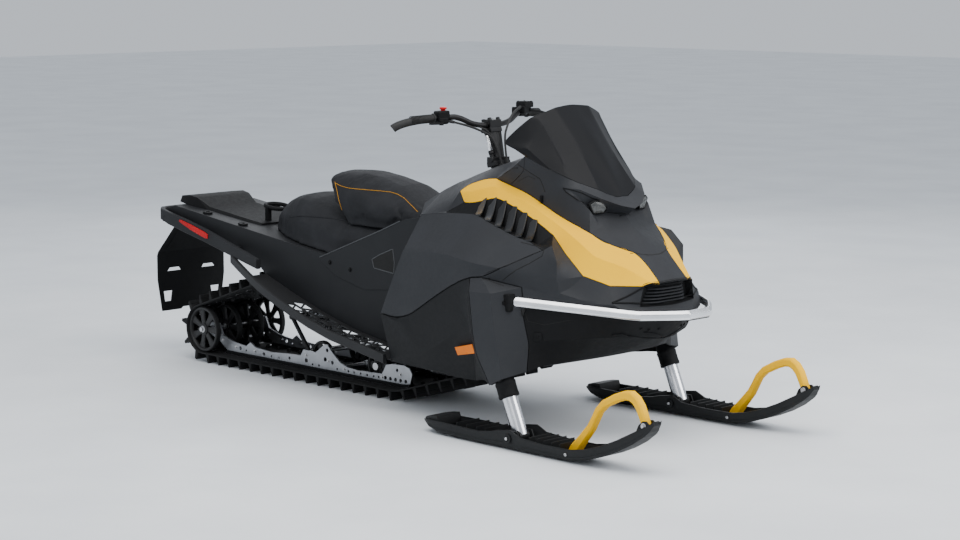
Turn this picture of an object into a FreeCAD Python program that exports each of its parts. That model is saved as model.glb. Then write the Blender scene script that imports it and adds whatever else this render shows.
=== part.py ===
import FreeCAD, Part

import math
import os

from FreeCAD import Vector

# A utility snowmobile, drawn in millimetres: +X forward, +Y to its left, +Z up.
# The origin is on the ground at the middle of its length and width.

doc = FreeCAD.newDocument("snowmobile")
sizes = doc.addObject("Spreadsheet::Sheet", "sizes")

# Driving dimensions

SIZES = [
    # skis and struts
    ("ski_stance", 900),
    ("strut_rake_deg", 23),
    ("ski_axle_x", 934),
    ("ski_axle_height", 45),
    ("ski_wall", 5),
    ("ski_tail_x", 471),
    ("ski_tip_x", 1578),
    ("ski_axle_radius", 8),
    ("leg_radius", 28),
    ("leg_foot_radius", 23),
    ("running_gap", 0.05),
    ("strut_tube_wall", 4),
    ("collar_radius", 37),
    ("collar_bottom_height", 178),
    ("collar_top_height", 232),
    ("strut_top_height", 480),
    ("loop_width", 34),
    ("ski_rib_width", 5),
    ("ski_ear_thickness", 6),
    ("ski_foot_half", 24),
    ("ski_ear_gap", 10),
    # track and its drive
    ("track_width", 406),
    ("belt_thickness", 8),
    ("lug_height", 38),
    ("lug_count", 54),
    ("lug_root", 20),
    ("lug_tip", 9),
    ("lug_gap", 36),
    ("lug_centre_half", 82),
    ("rear_axle_x", -1245),
    ("rear_wheel_radius", 100),
    ("belt_clearance", 1),
    ("drive_axle_x", 400),
    ("drive_axle_height", 256),
    ("drive_wheel_radius", 85),
    ("ramp_start_x", -43),
    ("ramp_radius", 300),
    ("axle_radius", 10),
    # slide rails and skid frame
    ("rail_half_gauge", 130),
    ("rail_thickness", 8),
    ("slider_height", 12),
    ("slider_half_width", 14),
    ("idler_radius", 62),
    ("carrier_x", -600),
    ("carrier_height", 407),
    ("wheel_width", 24),
    ("arm_radius", 12),
    ("arm_shaft_height", 262),
    ("front_arm_x", 170),
    ("rear_arm_x", -330),
    ("rear_wheel_gauge", 182),
    ("coil_radius", 25),
    ("coil_wire_radius", 5),
    # tunnel, boards and tail
    ("tunnel_half_width", 222),
    ("sheet_thickness", 4),
    ("tunnel_base_height", 508),
    ("tunnel_slope", 0.126),
    ("tunnel_front_x", 560),
    ("tunnel_rear_x", -1490),
    ("deck_end_x", -1388),
    ("board_thickness", 5),
    ("board_rail_height", 36),
    ("board_rail_width", 16),
    ("bumper_bar_height", 46),
    ("bumper_bar_width", 22),
    ("flap_half_width", 187),
    ("flap_thickness", 6),
    ("anchor_radius", 21),
    ("anchor_height", 9),
    ("anchor_hole_radius", 8),
    ("truss_pitch", 36),
    ("truss_web", 7),
    # body shell
    ("shell_thickness", 4),
    ("grille_slot_height", 7),
    ("fin_thickness", 5),
    ("front_bar_height", 34),
    ("front_bar_width", 18),
    # steering
    ("steering_rake_deg", 15),
    ("steering_x", 380),
    ("steering_height", 965),
    ("post_radius", 16),
    ("bar_radius", 11),
    ("grip_radius", 17),
    ("bar_centre_rise", 152),
    ("post_opening_radius", 46),
    ("hose_radius", 4),
    # engine block
    ("engine_length", 330),
    ("engine_width", 360),
    ("engine_height", 210),
]

for row, (alias, value) in enumerate(SIZES, start=1):
    sizes.set("A%d" % row, alias)
    sizes.set("B%d" % row, str(value))
    sizes.setAlias("B%d" % row, alias)
doc.recompute()


def size(alias):
    """A driving dimension from the sheet."""
    return float(sizes.get(alias))


NODES = []


def node(label, obj):
    """Names a finished sub-part; its label is the name of its file."""
    obj.Label = label
    NODES.append(obj)
    return obj


def feature(label, shape, base=(0, 0, 0)):
    """A finished sub-part whose shape is worked out from points, set down at base."""
    obj = doc.addObject("Part::Feature", label)
    obj.Shape = shape
    obj.Placement = FreeCAD.Placement(Vector(*base), FreeCAD.Rotation())
    return node(label, obj)


def helper(name, shape):
    """A shape from points that other objects use."""
    obj = doc.addObject("Part::Feature", name)
    obj.Shape = shape
    obj.Placement = FreeCAD.Placement()
    return obj


def turned_to(base, direction):
    """A placement at base whose own Z points along direction."""
    rotation = FreeCAD.Rotation(Vector(0, 0, 1), Vector(*direction))
    return FreeCAD.Placement(Vector(*base), rotation)


def cylinder(name, radius, height, base, direction=(0, 0, 1)):
    """A cylinder; radius and height are expressions of the sheet."""
    obj = doc.addObject("Part::Cylinder", name)
    obj.setExpression("Radius", radius)
    obj.setExpression("Height", height)
    obj.Placement = turned_to(base, direction)
    return obj


def cross_cylinder(name, radius, width, x, y, z):
    """A cylinder across the machine, centred on (x, y, z)."""
    obj = cylinder(name, radius, width, (x, y, z), (0, 1, 0))
    doc.recompute([obj])
    obj.Placement = turned_to((x, y - obj.Height.Value / 2, z), (0, 1, 0))
    return obj


def block(name, length, width, height, corner):
    """A box; its three sizes are expressions of the sheet."""
    obj = doc.addObject("Part::Box", name)
    obj.setExpression("Length", length)
    obj.setExpression("Width", width)
    obj.setExpression("Height", height)
    obj.Placement = FreeCAD.Placement(Vector(*corner), FreeCAD.Rotation())
    return obj


def fuse(name, parts):
    obj = doc.addObject("Part::MultiFuse", name)
    obj.Shapes = parts
    return obj


def cut(name, base, tool):
    obj = doc.addObject("Part::Cut", name)
    obj.Base = base
    obj.Tool = tool
    return obj


def compound(name, parts):
    obj = doc.addObject("Part::Compound", name)
    obj.Links = parts
    return obj


def mirrored(name, source):
    """The same piece on the other side of the machine."""
    obj = doc.addObject("Part::Mirroring", name)
    obj.Source = source
    obj.Normal = Vector(0, 1, 0)
    obj.Base = Vector(0, 0, 0)
    return obj


def pair(label, right):
    """One sub-part made of a piece and its mirror image."""
    left = mirrored(right.Name + "_left", right)
    return node(label, compound(label, [right, left]))


def side_pad(name, outline, thickness, middle_y, holes=()):
    """A plate upright along the machine: an (x, z) outline, padded both ways from middle_y."""
    body = doc.addObject("PartDesign::Body", name)
    sketch = body.newObject("Sketcher::SketchObject", name + "_outline")
    plane = [f for f in body.Origin.OriginFeatures if f.Role == "XZ_Plane"][0]
    sketch.AttachmentSupport = (plane, "")
    sketch.MapMode = "FlatFace"
    sketch.AttachmentOffset = FreeCAD.Placement(Vector(0, 0, -middle_y), FreeCAD.Rotation())
    for start, end in zip(outline, outline[1:] + outline[:1]):
        line = Part.LineSegment(Vector(start[0], start[1], 0), Vector(end[0], end[1], 0))
        sketch.addGeometry(line)
    for x, z, radius in holes:
        sketch.addGeometry(Part.Circle(Vector(x, z, 0), Vector(0, 0, 1), radius))
    plate = body.newObject("PartDesign::Pad", name + "_pad")
    plate.Profile = sketch
    plate.setExpression("Length", thickness)
    plate.SideType = "Symmetric"
    return body


def is_flat(corners):
    """True if all the corners lie in one plane."""
    normal = (corners[1] - corners[0]).cross(corners[2] - corners[0])
    if normal.Length < 1e-9:
        return False
    normal.normalize()
    return all(abs((corner - corners[0]).dot(normal)) < 1e-6 for corner in corners[3:])


def solid_of(corner_lists):
    """A closed solid from faces given as lists of corners."""
    faces = []
    for corners in corner_lists:
        if len(corners) == 3 or is_flat(corners):
            faces.append(Part.Face(Part.makePolygon(corners + corners[:1])))
            continue
        for second, third in zip(corners[1:], corners[2:]):
            triangle = [corners[0], second, third, corners[0]]
            faces.append(Part.Face(Part.makePolygon(triangle)))
    shell = Part.makeShell(faces)
    shell.sewShape()
    solid = Part.makeSolid(shell)
    if solid.Volume < 0:
        solid.reverse()
    return solid


def loft_of(sections):
    """A closed solid through sections that have the same number of corners."""
    rings = [[Vector(*point) for point in section] for section in sections]
    corner_lists = [rings[0][::-1], rings[-1]]
    for ring, following in zip(rings, rings[1:]):
        for i in range(len(ring)):
            j = (i + 1) % len(ring)
            corner_lists.append([ring[i], ring[j], following[j], following[i]])
    return solid_of(corner_lists)


def mirrored_shape(shape):
    return shape.mirror(Vector(0, 0, 0), Vector(0, 1, 0))


def keep_main(shape, smallest=500):
    """The solids of a shape without crumbs."""
    return Part.makeCompound([solid for solid in shape.Solids if solid.Volume > smallest])


def clear_of(shape, *labels):
    """A shape with the named sub-parts taken out of it."""
    doc.recompute()
    others = [obj.Shape for obj in NODES if obj.Label in labels]
    return keep_main(shape.cut(others))


def largest(shape):
    return max(shape.Solids, key=lambda solid: solid.Volume)


def bar_along(path, half_width, half_height):
    """A flat bar with chamfered corners along a path; a point's fourth number adds to the half height."""
    points = [Vector(*point[:3]) for point in path]
    extras = [point[3] if len(point) > 3 else 0 for point in path]
    sections = []
    bevel = min(half_width, half_height) * 0.35
    for i, point in enumerate(points):
        high = half_height + extras[i]
        before = points[max(i - 1, 0)]
        after = points[min(i + 1, len(points) - 1)]
        run = after - before
        across = Vector(-run.y, run.x, 0)
        across.normalize()
        if 0 < i < len(points) - 1:
            first = point - before
            first.z = 0
            first.normalize()
            across = across * (1 / max(0.5, abs(across.dot(Vector(-first.y, first.x, 0)))))
        section = []
        for side, rise in (
            (1, 1 - bevel / high),
            (1 - bevel / half_width, 1),
            (-1 + bevel / half_width, 1),
            (-1, 1 - bevel / high),
            (-1, -1 + bevel / high),
            (-1 + bevel / half_width, -1),
            (1 - bevel / half_width, -1),
            (1, -1 + bevel / high),
        ):
            corner = point + across * (side * half_width) + Vector(0, 0, rise * high)
            section.append((corner.x, corner.y, corner.z))
        sections.append(section)
    return loft_of(sections)


def tube_along(path, radius, share=0.45):
    """A round tube of straight runs joined by tangent arcs."""
    points = [Vector(*point) for point in path]
    edges = []
    start = points[0]
    for before, corner, after in zip(points, points[1:], points[2:]):
        back = (before - corner).normalize()
        ahead = (after - corner).normalize()
        half_turn = (math.pi - back.getAngle(ahead)) / 2
        reach = share * min((before - corner).Length, (after - corner).Length)
        bend = reach / math.tan(half_turn)
        entry = corner + back * reach
        leave = corner + ahead * reach
        inward = (back + ahead).normalize()
        middle = corner + inward * (bend / math.cos(half_turn) - bend)
        edges.append(Part.LineSegment(start, entry).toShape())
        edges.append(Part.Arc(entry, middle, leave).toShape())
        start = leave
    edges.append(Part.LineSegment(start, points[-1]).toShape())
    spine = Part.Wire(edges)
    direction = points[1] - points[0]
    ring = Part.Wire(Part.makeCircle(radius, points[0], direction))
    return spine.makePipeShell([ring], True, False)


def strut_x(height):
    """How far forward the strut's axis is at a height."""
    rake = math.tan(math.radians(size("strut_rake_deg")))
    return size("ski_axle_x") - rake * (height - size("ski_axle_height"))


STANCE = size("ski_stance") / 2
STRUT_RAKE = math.radians(size("strut_rake_deg"))
STRUT_UP = (-math.sin(STRUT_RAKE), 0, math.cos(STRUT_RAKE))
STEERING_RAKE = math.radians(size("steering_rake_deg"))
STEERING_UP = (-math.sin(STEERING_RAKE), 0, math.cos(STEERING_RAKE))

# Body skin: corner points of the left half as (x, y, z), the right half is its mirror image

SKIN = {
    # stripe: inner edge i, middle m, outer edge o, from the rear tip forward
    "tip": (393, 222, 875),
    "i0": (425, 200, 902), "m0": (430, 225, 874), "o0": (433, 240, 837),
    "i1": (490, 185, 924), "m1": (496, 224, 890), "o1": (500, 249, 842),
    "i2": (549, 180, 930), "m2": (572, 222, 905), "o2": (591, 250, 863),
    "i3": (626, 190, 912), "m3": (640, 228, 893), "o3": (650, 252, 859),
    "i4": (739, 200, 883), "m4": (770, 234, 853), "o4": (792, 255, 810),
    "i5": (888, 197, 817), "m5": (905, 236, 795), "o5": (914, 262, 755),
    "i6": (1021, 182, 767), "m6": (1010, 236, 740), "o6": (985, 272, 693),
    "i7": (1088, 147, 727), "m7": (1087, 218, 686), "o7": (1067, 268, 620),
    "i8": (1160, 87, 693), "m8": (1167, 160, 650), "o8": (1150, 215, 587),
    "i9": (1267, 78, 595), "m9": (1256, 106, 596), "o9": (1241, 130, 588),
    # hood centre line and lamp recess
    "c0": (1275, 0, 598), "c1": (1166, 0, 695), "c2": (1112, 0, 745), "c3": (1072, 0, 775),
    "r1": (1030, 110, 784), "r2": (1016, 136, 800), "r3": (1002, 163, 845),
    "r4": (946, 182, 893), "r5": (891, 193, 923),
    "q0": (1036, 0, 815), "q1": (1000, 75, 832), "q2": (985, 122, 842), "q3": (966, 158, 868),
    "b0": (1078, 0, 845), "b1": (1060, 60, 859), "b2": (1020, 120, 885), "b3": (961, 170, 917),
    # windshield base
    "w0": (1015, 0, 885), "w1": (1010, 45, 890), "w2": (990, 100, 913), "w3": (940, 150, 938),
    "w4": (898, 180, 959), "w5": (845, 200, 983), "w6": (780, 215, 1009), "w7": (730, 220, 1028),
    # hood side and console
    "s4": (800, 200, 915), "s3": (715, 212, 972), "s2": (640, 205, 972),
    "k0": (690, 0, 1010), "kp": (722, 180, 1025), "k1": (560, 95, 990), "k2": (530, 0, 998),
    "k3": (450, 100, 958), "k4": (440, 0, 970),
    "k5": (300, 110, 900), "k6": (300, 0, 915), "k7": (205, 120, 860), "k8": (205, 0, 872),
    "k9": (90, 120, 800), "k10": (90, 0, 812),
    "j0": (361, 262, 797), "j1": (200, 250, 770), "j2": (150, 200, 762),
    # dash floor behind the windshield
    "dash0": (990, 0, 872), "dash1": (984, 42, 877), "dash2": (966, 90, 897), "dash3": (920, 134, 922),
    "dash4": (882, 160, 943), "dash5": (834, 180, 966), "dash6": (772, 192, 992),
    # windshield
    "top0": (756, 0, 1210), "top1": (760, 90, 1203), "top2": (746, 147, 1184),
    "edge1": (729, 190, 1168), "edge2": (698, 225, 1130), "edge3": (661, 255, 1078),
    "edge4": (705, 246, 1052),
    "mid0": (902, 0, 1046), "mid1": (887, 85, 1043), "mid2": (853, 146, 1036),
    "fold1": (758, 168, 1153), "fold2": (818, 164, 1073), "fold3": (866, 168, 1010),
    "wing1": (749, 212, 1089), "wing2": (751, 230, 1058),
    # air intake channel between the stripe and the side panel
    "ch1": (505, 292, 792), "ch2": (605, 298, 790), "ch3": (700, 300, 770), "ch4": (798, 302, 742),
    "ch5": (880, 306, 718),
    # grille recess
    "gr0": (1248, 0, 590), "gr1": (1240, 76, 587), "gr2": (1216, 118, 580), "gr3": (1212, 134, 523),
    "gr4": (1234, 0, 519),
    # side panel: top t, crest p, groove g
    "t0": (275, 315, 785), "t1": (428, 325, 805), "t2": (587, 335, 812), "t3": (691, 337, 780),
    "t4": (798, 340, 750), "t5": (878, 345, 737), "t6": (947, 350, 711),
    "p0": (250, 392, 645), "p1": (493, 427, 665), "p2": (671, 445, 650), "p3": (810, 430, 640),
    "e1": (208, 400, 552), "e2": (162, 395, 469),
    "g0": (116, 385, 393), "g1": (212, 397, 389), "g2": (296, 405, 408), "g3": (433, 420, 482),
    "g4": (582, 435, 559), "g5": (671, 446, 592), "g6": (728, 446, 601),
    # lower panel
    "l0": (133, 375, 308), "l1": (144, 355, 203), "l2": (358, 350, 195), "l3": (494, 350, 188),
    "l4": (617, 360, 192), "l5": (723, 420, 218),
    "y1": (240, 405, 374), "y2": (345, 397, 275), "y3": (438, 408, 300), "y4": (571, 425, 374),
    "y5": (666, 440, 401),
    # inner lower edge beside the track
    "n1": (144, 238, 203), "n2": (358, 238, 195), "n3": (494, 238, 188),
    "n4": (617, 240, 212), "n5": (723, 240, 240),
    # strut cover
    "u0": (702, 484, 549), "u1": (734, 489, 365), "u2": (761, 486, 295), "u3": (814, 488, 216),
    "v0": (819, 492, 555), "v1": (850, 494, 386), "v2": (870, 495, 316), "v3": (879, 497, 246),
    "x0": (887, 397, 575), "x1": (905, 405, 470), "x2": (925, 398, 370), "x3": (918, 400, 268),
    # nose side and its shelf
    "z0": (973, 332, 730), "z1": (1016, 352, 675), "z2": (1017, 352, 609),
    "f0": (1043, 305, 582), "f1": (1113, 278, 530), "f2": (1190, 235, 524), "f3": (1236, 150, 514),
    "f4": (1262, 0, 510),
    "a1": (947, 367, 560), "a2": (1022, 342, 562),
    # outline at the front bar and the chin
    "d0": (905, 400, 505), "d1": (1000, 345, 492), "d2": (1120, 282, 486), "d3": (1235, 190, 484),
    "d4": (1290, 70, 484), "d5": (1296, 0, 484),
    "h0": (959, 372, 385), "h1": (1040, 320, 392), "h2": (1120, 262, 400), "h3": (1196, 150, 402),
    "h4": (1232, 50, 394), "h5": (1236, 0, 394),
    # belly
    "e3": (940, 350, 286), "e4": (1000, 240, 300), "e5": (1070, 120, 318), "e6": (1078, 0, 318),
    "e7": (860, 240, 262), "e8": (900, 0, 268), "e9": (723, 0, 250), "e10": (590, 0, 240),
    "e11": (590, 235, 225),
}

# Each panel's faces, their corners anticlockwise as seen from outside the left half

PANELS = {
    "hood_stripes": [
        ("tip", "i0", "m0"), ("tip", "m0", "o0"),
        ("i0", "i1", "m1", "m0"), ("m0", "m1", "o1", "o0"),
        ("i1", "i2", "m2", "m1"), ("m1", "m2", "o2", "o1"),
        ("i2", "i3", "m3", "m2"), ("m2", "m3", "o3", "o2"),
        ("i3", "i4", "m4", "m3"), ("m3", "m4", "o4", "o3"),
        ("i4", "i5", "m5", "m4"), ("m4", "m5", "o5", "o4"),
        ("i5", "i6", "m6", "m5"), ("m5", "m6", "o6", "o5"),
        ("i6", "i7", "m7", "m6"), ("m6", "m7", "o7", "o6"),
        ("i7", "i8", "m8", "m7"), ("m7", "m8", "o8", "o7"),
        ("i8", "i9", "m9", "m8"), ("m8", "m9", "o9", "o8"),
    ],
    "hood": [
        ("c0", "i9", "i8", "c1"), ("c1", "i8", "i7", "c2"), ("c2", "i7", "r1", "c3"),
        ("i7", "i6", "r1"), ("i6", "r2", "r1"), ("i6", "r3", "r2"), ("i6", "i5", "r4", "r3"),
        ("i5", "r5", "r4"), ("i5", "s4", "r5"), ("i5", "i4", "s4"),
        ("c3", "r1", "q1", "q0"), ("r1", "r2", "q2", "q1"), ("r2", "r3", "q3", "q2"), ("r3", "r4", "q3"),
        ("q0", "q1", "b1", "b0"), ("q1", "q2", "b2", "b1"), ("q2", "q3", "b3", "b2"),
        ("q3", "r4", "r5", "b3"),
        ("b0", "b1", "w1", "w0"), ("b1", "b2", "w2", "w1"), ("b2", "b3", "w3", "w2"),
        ("b3", "r5", "w4", "w3"), ("r5", "s4", "w5", "w4"), ("s4", "s3", "w6", "w5"),
        ("s3", "w7", "w6"), ("i4", "i3", "s3", "s4"),
    ],
    "console": [
        ("s3", "s2", "w7"), ("i3", "s2", "s3"), ("i3", "i2", "s2"), ("s2", "k1", "kp", "w7"),
        ("k1", "k0", "kp"),
        ("k1", "k2", "k0"), ("i2", "k1", "s2"), ("i2", "i1", "k3", "k1"), ("k1", "k3", "k4", "k2"),
        ("i1", "i0", "k3"), ("i0", "tip", "k5", "k3"), ("k3", "k5", "k6", "k4"),
        ("tip", "j0", "j1", "k5"), ("k5", "j1", "k7"), ("k5", "k7", "k8", "k6"),
        ("j1", "j2", "k7"), ("k7", "j2", "k9"), ("k7", "k9", "k10", "k8"),
        ("tip", "o0", "j0"), ("j0", "t1", "t0", "j1"),
    ],
    "dash": [
        ("k0", "dash0", "dash1"), ("k0", "dash1", "dash2"), ("k0", "dash2", "dash3"),
        ("k0", "dash3", "dash4"), ("k0", "dash4", "dash5"), ("k0", "dash5", "dash6"),
        ("k0", "dash6", "kp"),
    ],
    "windshield": [
        ("w0", "w1", "mid1", "mid0"), ("w1", "w2", "mid1"), ("w2", "w3", "mid2", "mid1"),
        ("w3", "w4", "fold3", "mid2"), ("mid0", "mid1", "top1", "top0"),
        ("mid1", "mid2", "top2", "top1"), ("mid2", "fold2", "fold1", "top2"),
        ("mid2", "fold3", "fold2"), ("w4", "w5", "fold3"), ("w5", "wing2", "fold2", "fold3"),
        ("w5", "w6", "wing2"), ("fold2", "wing2", "wing1", "fold1"), ("w6", "w7", "edge4", "wing2"),
        ("wing2", "edge4", "edge3", "wing1"), ("wing1", "edge3", "edge2", "edge1"),
        ("fold1", "wing1", "edge1"), ("fold1", "edge1", "top2"),
    ],
    "intake_vents": [
        ("o0", "o1", "ch1", "j0"), ("j0", "ch1", "t1"), ("o1", "o2", "ch2", "ch1"),
        ("o2", "o3", "ch3", "ch2"), ("o3", "o4", "ch4", "ch3"), ("o4", "o5", "ch5", "ch4"),
        ("o5", "z0", "ch5"), ("ch1", "ch2", "t2", "t1"), ("ch2", "ch3", "t3", "t2"),
        ("ch3", "ch4", "t4", "t3"), ("ch4", "ch5", "t5", "t4"), ("ch5", "z0", "t6", "t5"),
    ],
    "front_grille": [
        ("gr4", "gr3", "gr2"), ("gr4", "gr2", "gr1"), ("gr4", "gr1", "gr0"),
        ("f4", "f3", "gr3", "gr4"), ("f3", "o9", "gr2", "gr3"), ("o9", "m9", "gr2"),
        ("m9", "i9", "gr1", "gr2"), ("i9", "c0", "gr0", "gr1"),
    ],
    "side_panels": [
        ("t1", "p1", "p0", "t0"), ("t2", "p1", "t1"), ("t3", "p2", "p1", "t2"), ("t4", "p2", "t3"),
        ("t5", "p3", "p2", "t4"), ("t6", "p3", "t5"),
        ("p1", "e1", "p0"), ("p1", "g2", "e1"), ("e1", "g2", "e2"), ("e2", "g2", "g1", "g0"),
        ("p1", "g3", "g2"), ("p1", "p2", "g4", "g3"), ("p2", "g5", "g4"), ("p2", "p3", "g6", "g5"),
    ],
    "lower_panels": [
        ("g0", "g1", "y1"), ("g0", "y1", "l0"), ("y1", "y2", "l1", "l0"), ("y2", "l2", "l1"),
        ("g1", "g2", "y1"), ("g2", "y2", "y1"), ("g2", "g3", "y3", "y2"), ("y2", "y3", "l2"),
        ("g3", "g4", "y4", "y3"), ("y3", "y4", "l3", "l2"), ("g4", "g5", "u0", "y5"),
        ("g4", "y5", "y4"), ("y4", "y5", "l4", "l3"), ("y5", "u1", "u2", "l4"), ("y5", "u0", "u1"),
        ("l4", "u2", "u3", "l5"),
        ("l1", "l2", "n2", "n1"), ("l2", "l3", "n3", "n2"), ("l3", "l4", "n4", "n3"),
        ("l4", "l5", "n5", "n4"),
    ],
    "strut_covers": [
        ("g5", "g6", "v0", "u0"), ("g6", "x0", "v0"),
        ("u0", "v0", "v1", "u1"), ("u1", "v1", "v2", "u2"), ("u2", "v2", "v3", "u3"),
        ("v0", "x0", "x1", "v1"), ("v1", "x1", "x2", "v2"), ("v2", "x2", "x3", "v3"),
    ],
    "nose_sides": [
        ("p3", "t6", "z1", "z2"), ("t6", "z0", "z1"), ("g6", "p3", "z2", "x0"),
        ("x0", "z2", "a2", "a1"), ("z0", "o5", "o6", "z1"), ("z1", "o6", "o7", "z2"),
        ("z2", "o7", "f0"), ("z2", "f0", "a2"), ("a2", "f0", "f1"), ("o7", "o8", "f1", "f0"),
        ("o8", "f2", "f1"), ("o8", "o9", "f3", "f2"),
        ("x0", "a1", "d0", "x1"), ("a1", "a2", "d1", "d0"), ("a2", "f1", "d2", "d1"),
        ("f1", "f2", "d3", "d2"), ("f2", "f3", "d4", "d3"), ("f3", "f4", "d5", "d4"),
    ],
    "belly_pan": [
        ("x1", "d0", "h0", "x2"), ("d0", "d1", "h1", "h0"), ("d1", "d2", "h2", "h1"),
        ("d2", "d3", "h3", "h2"), ("d3", "d4", "h4", "h3"), ("d4", "d5", "h5", "h4"),
        ("x2", "h0", "e3", "x3"), ("h0", "h1", "e4", "e3"), ("h1", "h2", "e4"),
        ("h2", "h3", "e5", "e4"), ("h3", "h4", "e5"), ("h4", "h5", "e6", "e5"),
        ("e3", "e4", "e7"), ("e4", "e5", "e8", "e7"), ("e5", "e6", "e8"),
        ("e7", "e8", "e9", "n5"), ("n5", "e9", "e10", "e11"),
    ],
}

CENTRE_PANELS = ("hood", "console", "dash", "windshield", "front_grille", "belly_pan")


def face_normal(names):
    """A face's outward direction, as long as its area."""
    corners = [Vector(*SKIN[name]) for name in names]
    normal = Vector(0, 0, 0)
    for second, third in zip(corners[1:], corners[2:]):
        normal = normal + (second - corners[0]).cross(third - corners[0])
    return normal


def skin_normals():
    """The outward direction of the skin at each corner."""
    normals = {name: Vector(0, 0, 0) for name in SKIN}
    for faces in PANELS.values():
        for names in faces:
            direction = face_normal(names).normalize()
            for name in names:
                normals[name] = normals[name] + direction
    for name, normal in normals.items():
        if SKIN[name][1] == 0:
            normal.y = 0
        normal.normalize()
    return normals


NORMALS = skin_normals()


def skin_point(name, side, depth):
    """A corner of the skin on one side, moved inward by depth."""
    point = Vector(*SKIN[name]) - NORMALS[name] * depth
    return Vector(point.x, point.y * side, point.z)


def open_edges(faces):
    """The edges of a panel that only one of its faces has."""
    edges = set()
    for names in faces:
        for start, end in zip(names, names[1:] + names[:1]):
            if (end, start) in edges:
                edges.remove((end, start))
            else:
                edges.add((start, end))
    return edges


def panel_faces(faces, sides, depth):
    """The corner lists of a panel as thick as depth."""
    corner_lists = []
    for side in sides:
        for names in faces:
            outer = [skin_point(name, side, 0) for name in names]
            inner = [skin_point(name, side, depth) for name in names]
            for second, third in zip(range(1, len(names)), range(2, len(names))):
                corner_lists.append([outer[0], outer[second], outer[third]])
                corner_lists.append([inner[0], inner[third], inner[second]])
        for start, end in open_edges(faces):
            if len(sides) == 2 and SKIN[start][1] == 0 and SKIN[end][1] == 0:
                continue
            first, last = min(start, end), max(start, end)
            corners = [
                skin_point(first, side, 0), skin_point(last, side, 0),
                skin_point(last, side, depth), skin_point(first, side, depth),
            ]
            corner_lists.append([corners[0], corners[1], corners[2]])
            corner_lists.append([corners[0], corners[2], corners[3]])
    return corner_lists


def panel(label, depth):
    """A body panel, or the pair of panels of the two sides."""
    if label in CENTRE_PANELS:
        return solid_of(panel_faces(PANELS[label], (1, -1), depth))
    left = solid_of(panel_faces(PANELS[label], (1,), depth))
    right = solid_of(panel_faces(PANELS[label], (-1,), depth))
    return Part.makeCompound([left, right])


SHELL = size("shell_thickness")
STEERING_FOOT = (size("steering_x"), 0, size("steering_height"))


def on_steering(rise, forward=0, left=0):
    """A point at a distance up the steering axis, and ahead and to the left of it."""
    x = STEERING_FOOT[0] + STEERING_UP[0] * rise + STEERING_UP[2] * forward
    z = STEERING_FOOT[2] + STEERING_UP[2] * rise - STEERING_UP[0] * forward
    return (x, left, z)


for label in ("hood_stripes", "hood", "side_panels", "lower_panels", "strut_covers", "nose_sides",
              "belly_pan", "windshield"):
    feature(label, panel(label, SHELL))

# Grille with slots, and vents with blades across the trough between stripe and side panel

GRILLE_SLOTS = (529, 541, 553, 565)
slots = []
for height in GRILLE_SLOTS:
    for start in (-104, 5):
        slots.append(Part.makeBox(120, 99, size("grille_slot_height"), Vector(1180, start, height)))
feature("front_grille", largest(panel("front_grille", SHELL).cut(slots)))


def line_at(names, x):
    """The point at x on the line through some skin corners."""
    corners = [Vector(*SKIN[name]) for name in names]
    for start, end in zip(corners, corners[1:]):
        if start.x <= x <= end.x:
            return start + (end - start) * ((x - start.x) / (end.x - start.x))
    raise ValueError("no skin corner beyond x = %g" % x)


FIN_STATIONS = (583, 640, 697, 754, 811)
FIN_SWEEP, FIN_MARGIN, FIN_SINK = 30, 0.16, 2


def vent_fin(x):
    """A blade across the trough, its inner end further back."""
    inner = line_at(("o1", "o2", "o3", "o4", "o5"), x - FIN_SWEEP)
    bottom = line_at(("ch1", "ch2", "ch3", "ch4", "ch5"), x)
    outer = line_at(("t1", "t2", "t3", "t4", "t5", "t6"), x + FIN_SWEEP)
    down = Vector(0, 0, -FIN_SINK)
    corners = [
        inner + (bottom - inner) * FIN_MARGIN + down,
        bottom + down,
        outer + (bottom - outer) * FIN_MARGIN + down,
    ]
    return Part.Face(Part.makePolygon(corners + corners[:1])).extrude(Vector(size("fin_thickness"), 0, 0))


fins = []
for x in FIN_STATIONS:
    fins += [vent_fin(x), mirrored_shape(vent_fin(x))]
vents = panel("intake_vents", SHELL).multiFuse(fins)
feature("intake_vents", clear_of(vents, "hood_stripes", "side_panels"))

# Console and dash, with a round opening for the steering post

console_skin = helper("console_skin", panel("console", SHELL))
dash_skin = helper("dash_skin", panel("dash", SHELL))
console_opening = cylinder(
    "console_opening", "sizes.post_opening_radius", "240", on_steering(-120), STEERING_UP
)
console_plate = fuse("console_plate", [console_skin, dash_skin])
node("console", cut("console", console_plate, console_opening))

# Headlamps

LAMP_FRONT = [
    (990, 156, 866), (1002, 138, 877), (1010, 102, 870), (1016, 94, 848), (1010, 104, 833), (995, 140, 831),
]
LAMP_BACK = [
    (972, 150, 864), (980, 134, 868), (990, 100, 858), (994, 92, 846), (990, 100, 840), (978, 136, 842),
]
lamp = loft_of([LAMP_BACK, LAMP_FRONT])
lamp = max(clear_of(lamp, "hood", "hood_stripes").Solids, key=lambda solid: solid.BoundBox.XMax)
feature("headlamps", Part.makeCompound([lamp, mirrored_shape(lamp)]))

# Tunnel: a folded sheet, open below and at both ends


def tunnel_top(x):
    """The height of the tunnel's top over x; it climbs towards the rear."""
    return size("tunnel_base_height") - size("tunnel_slope") * x


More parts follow.
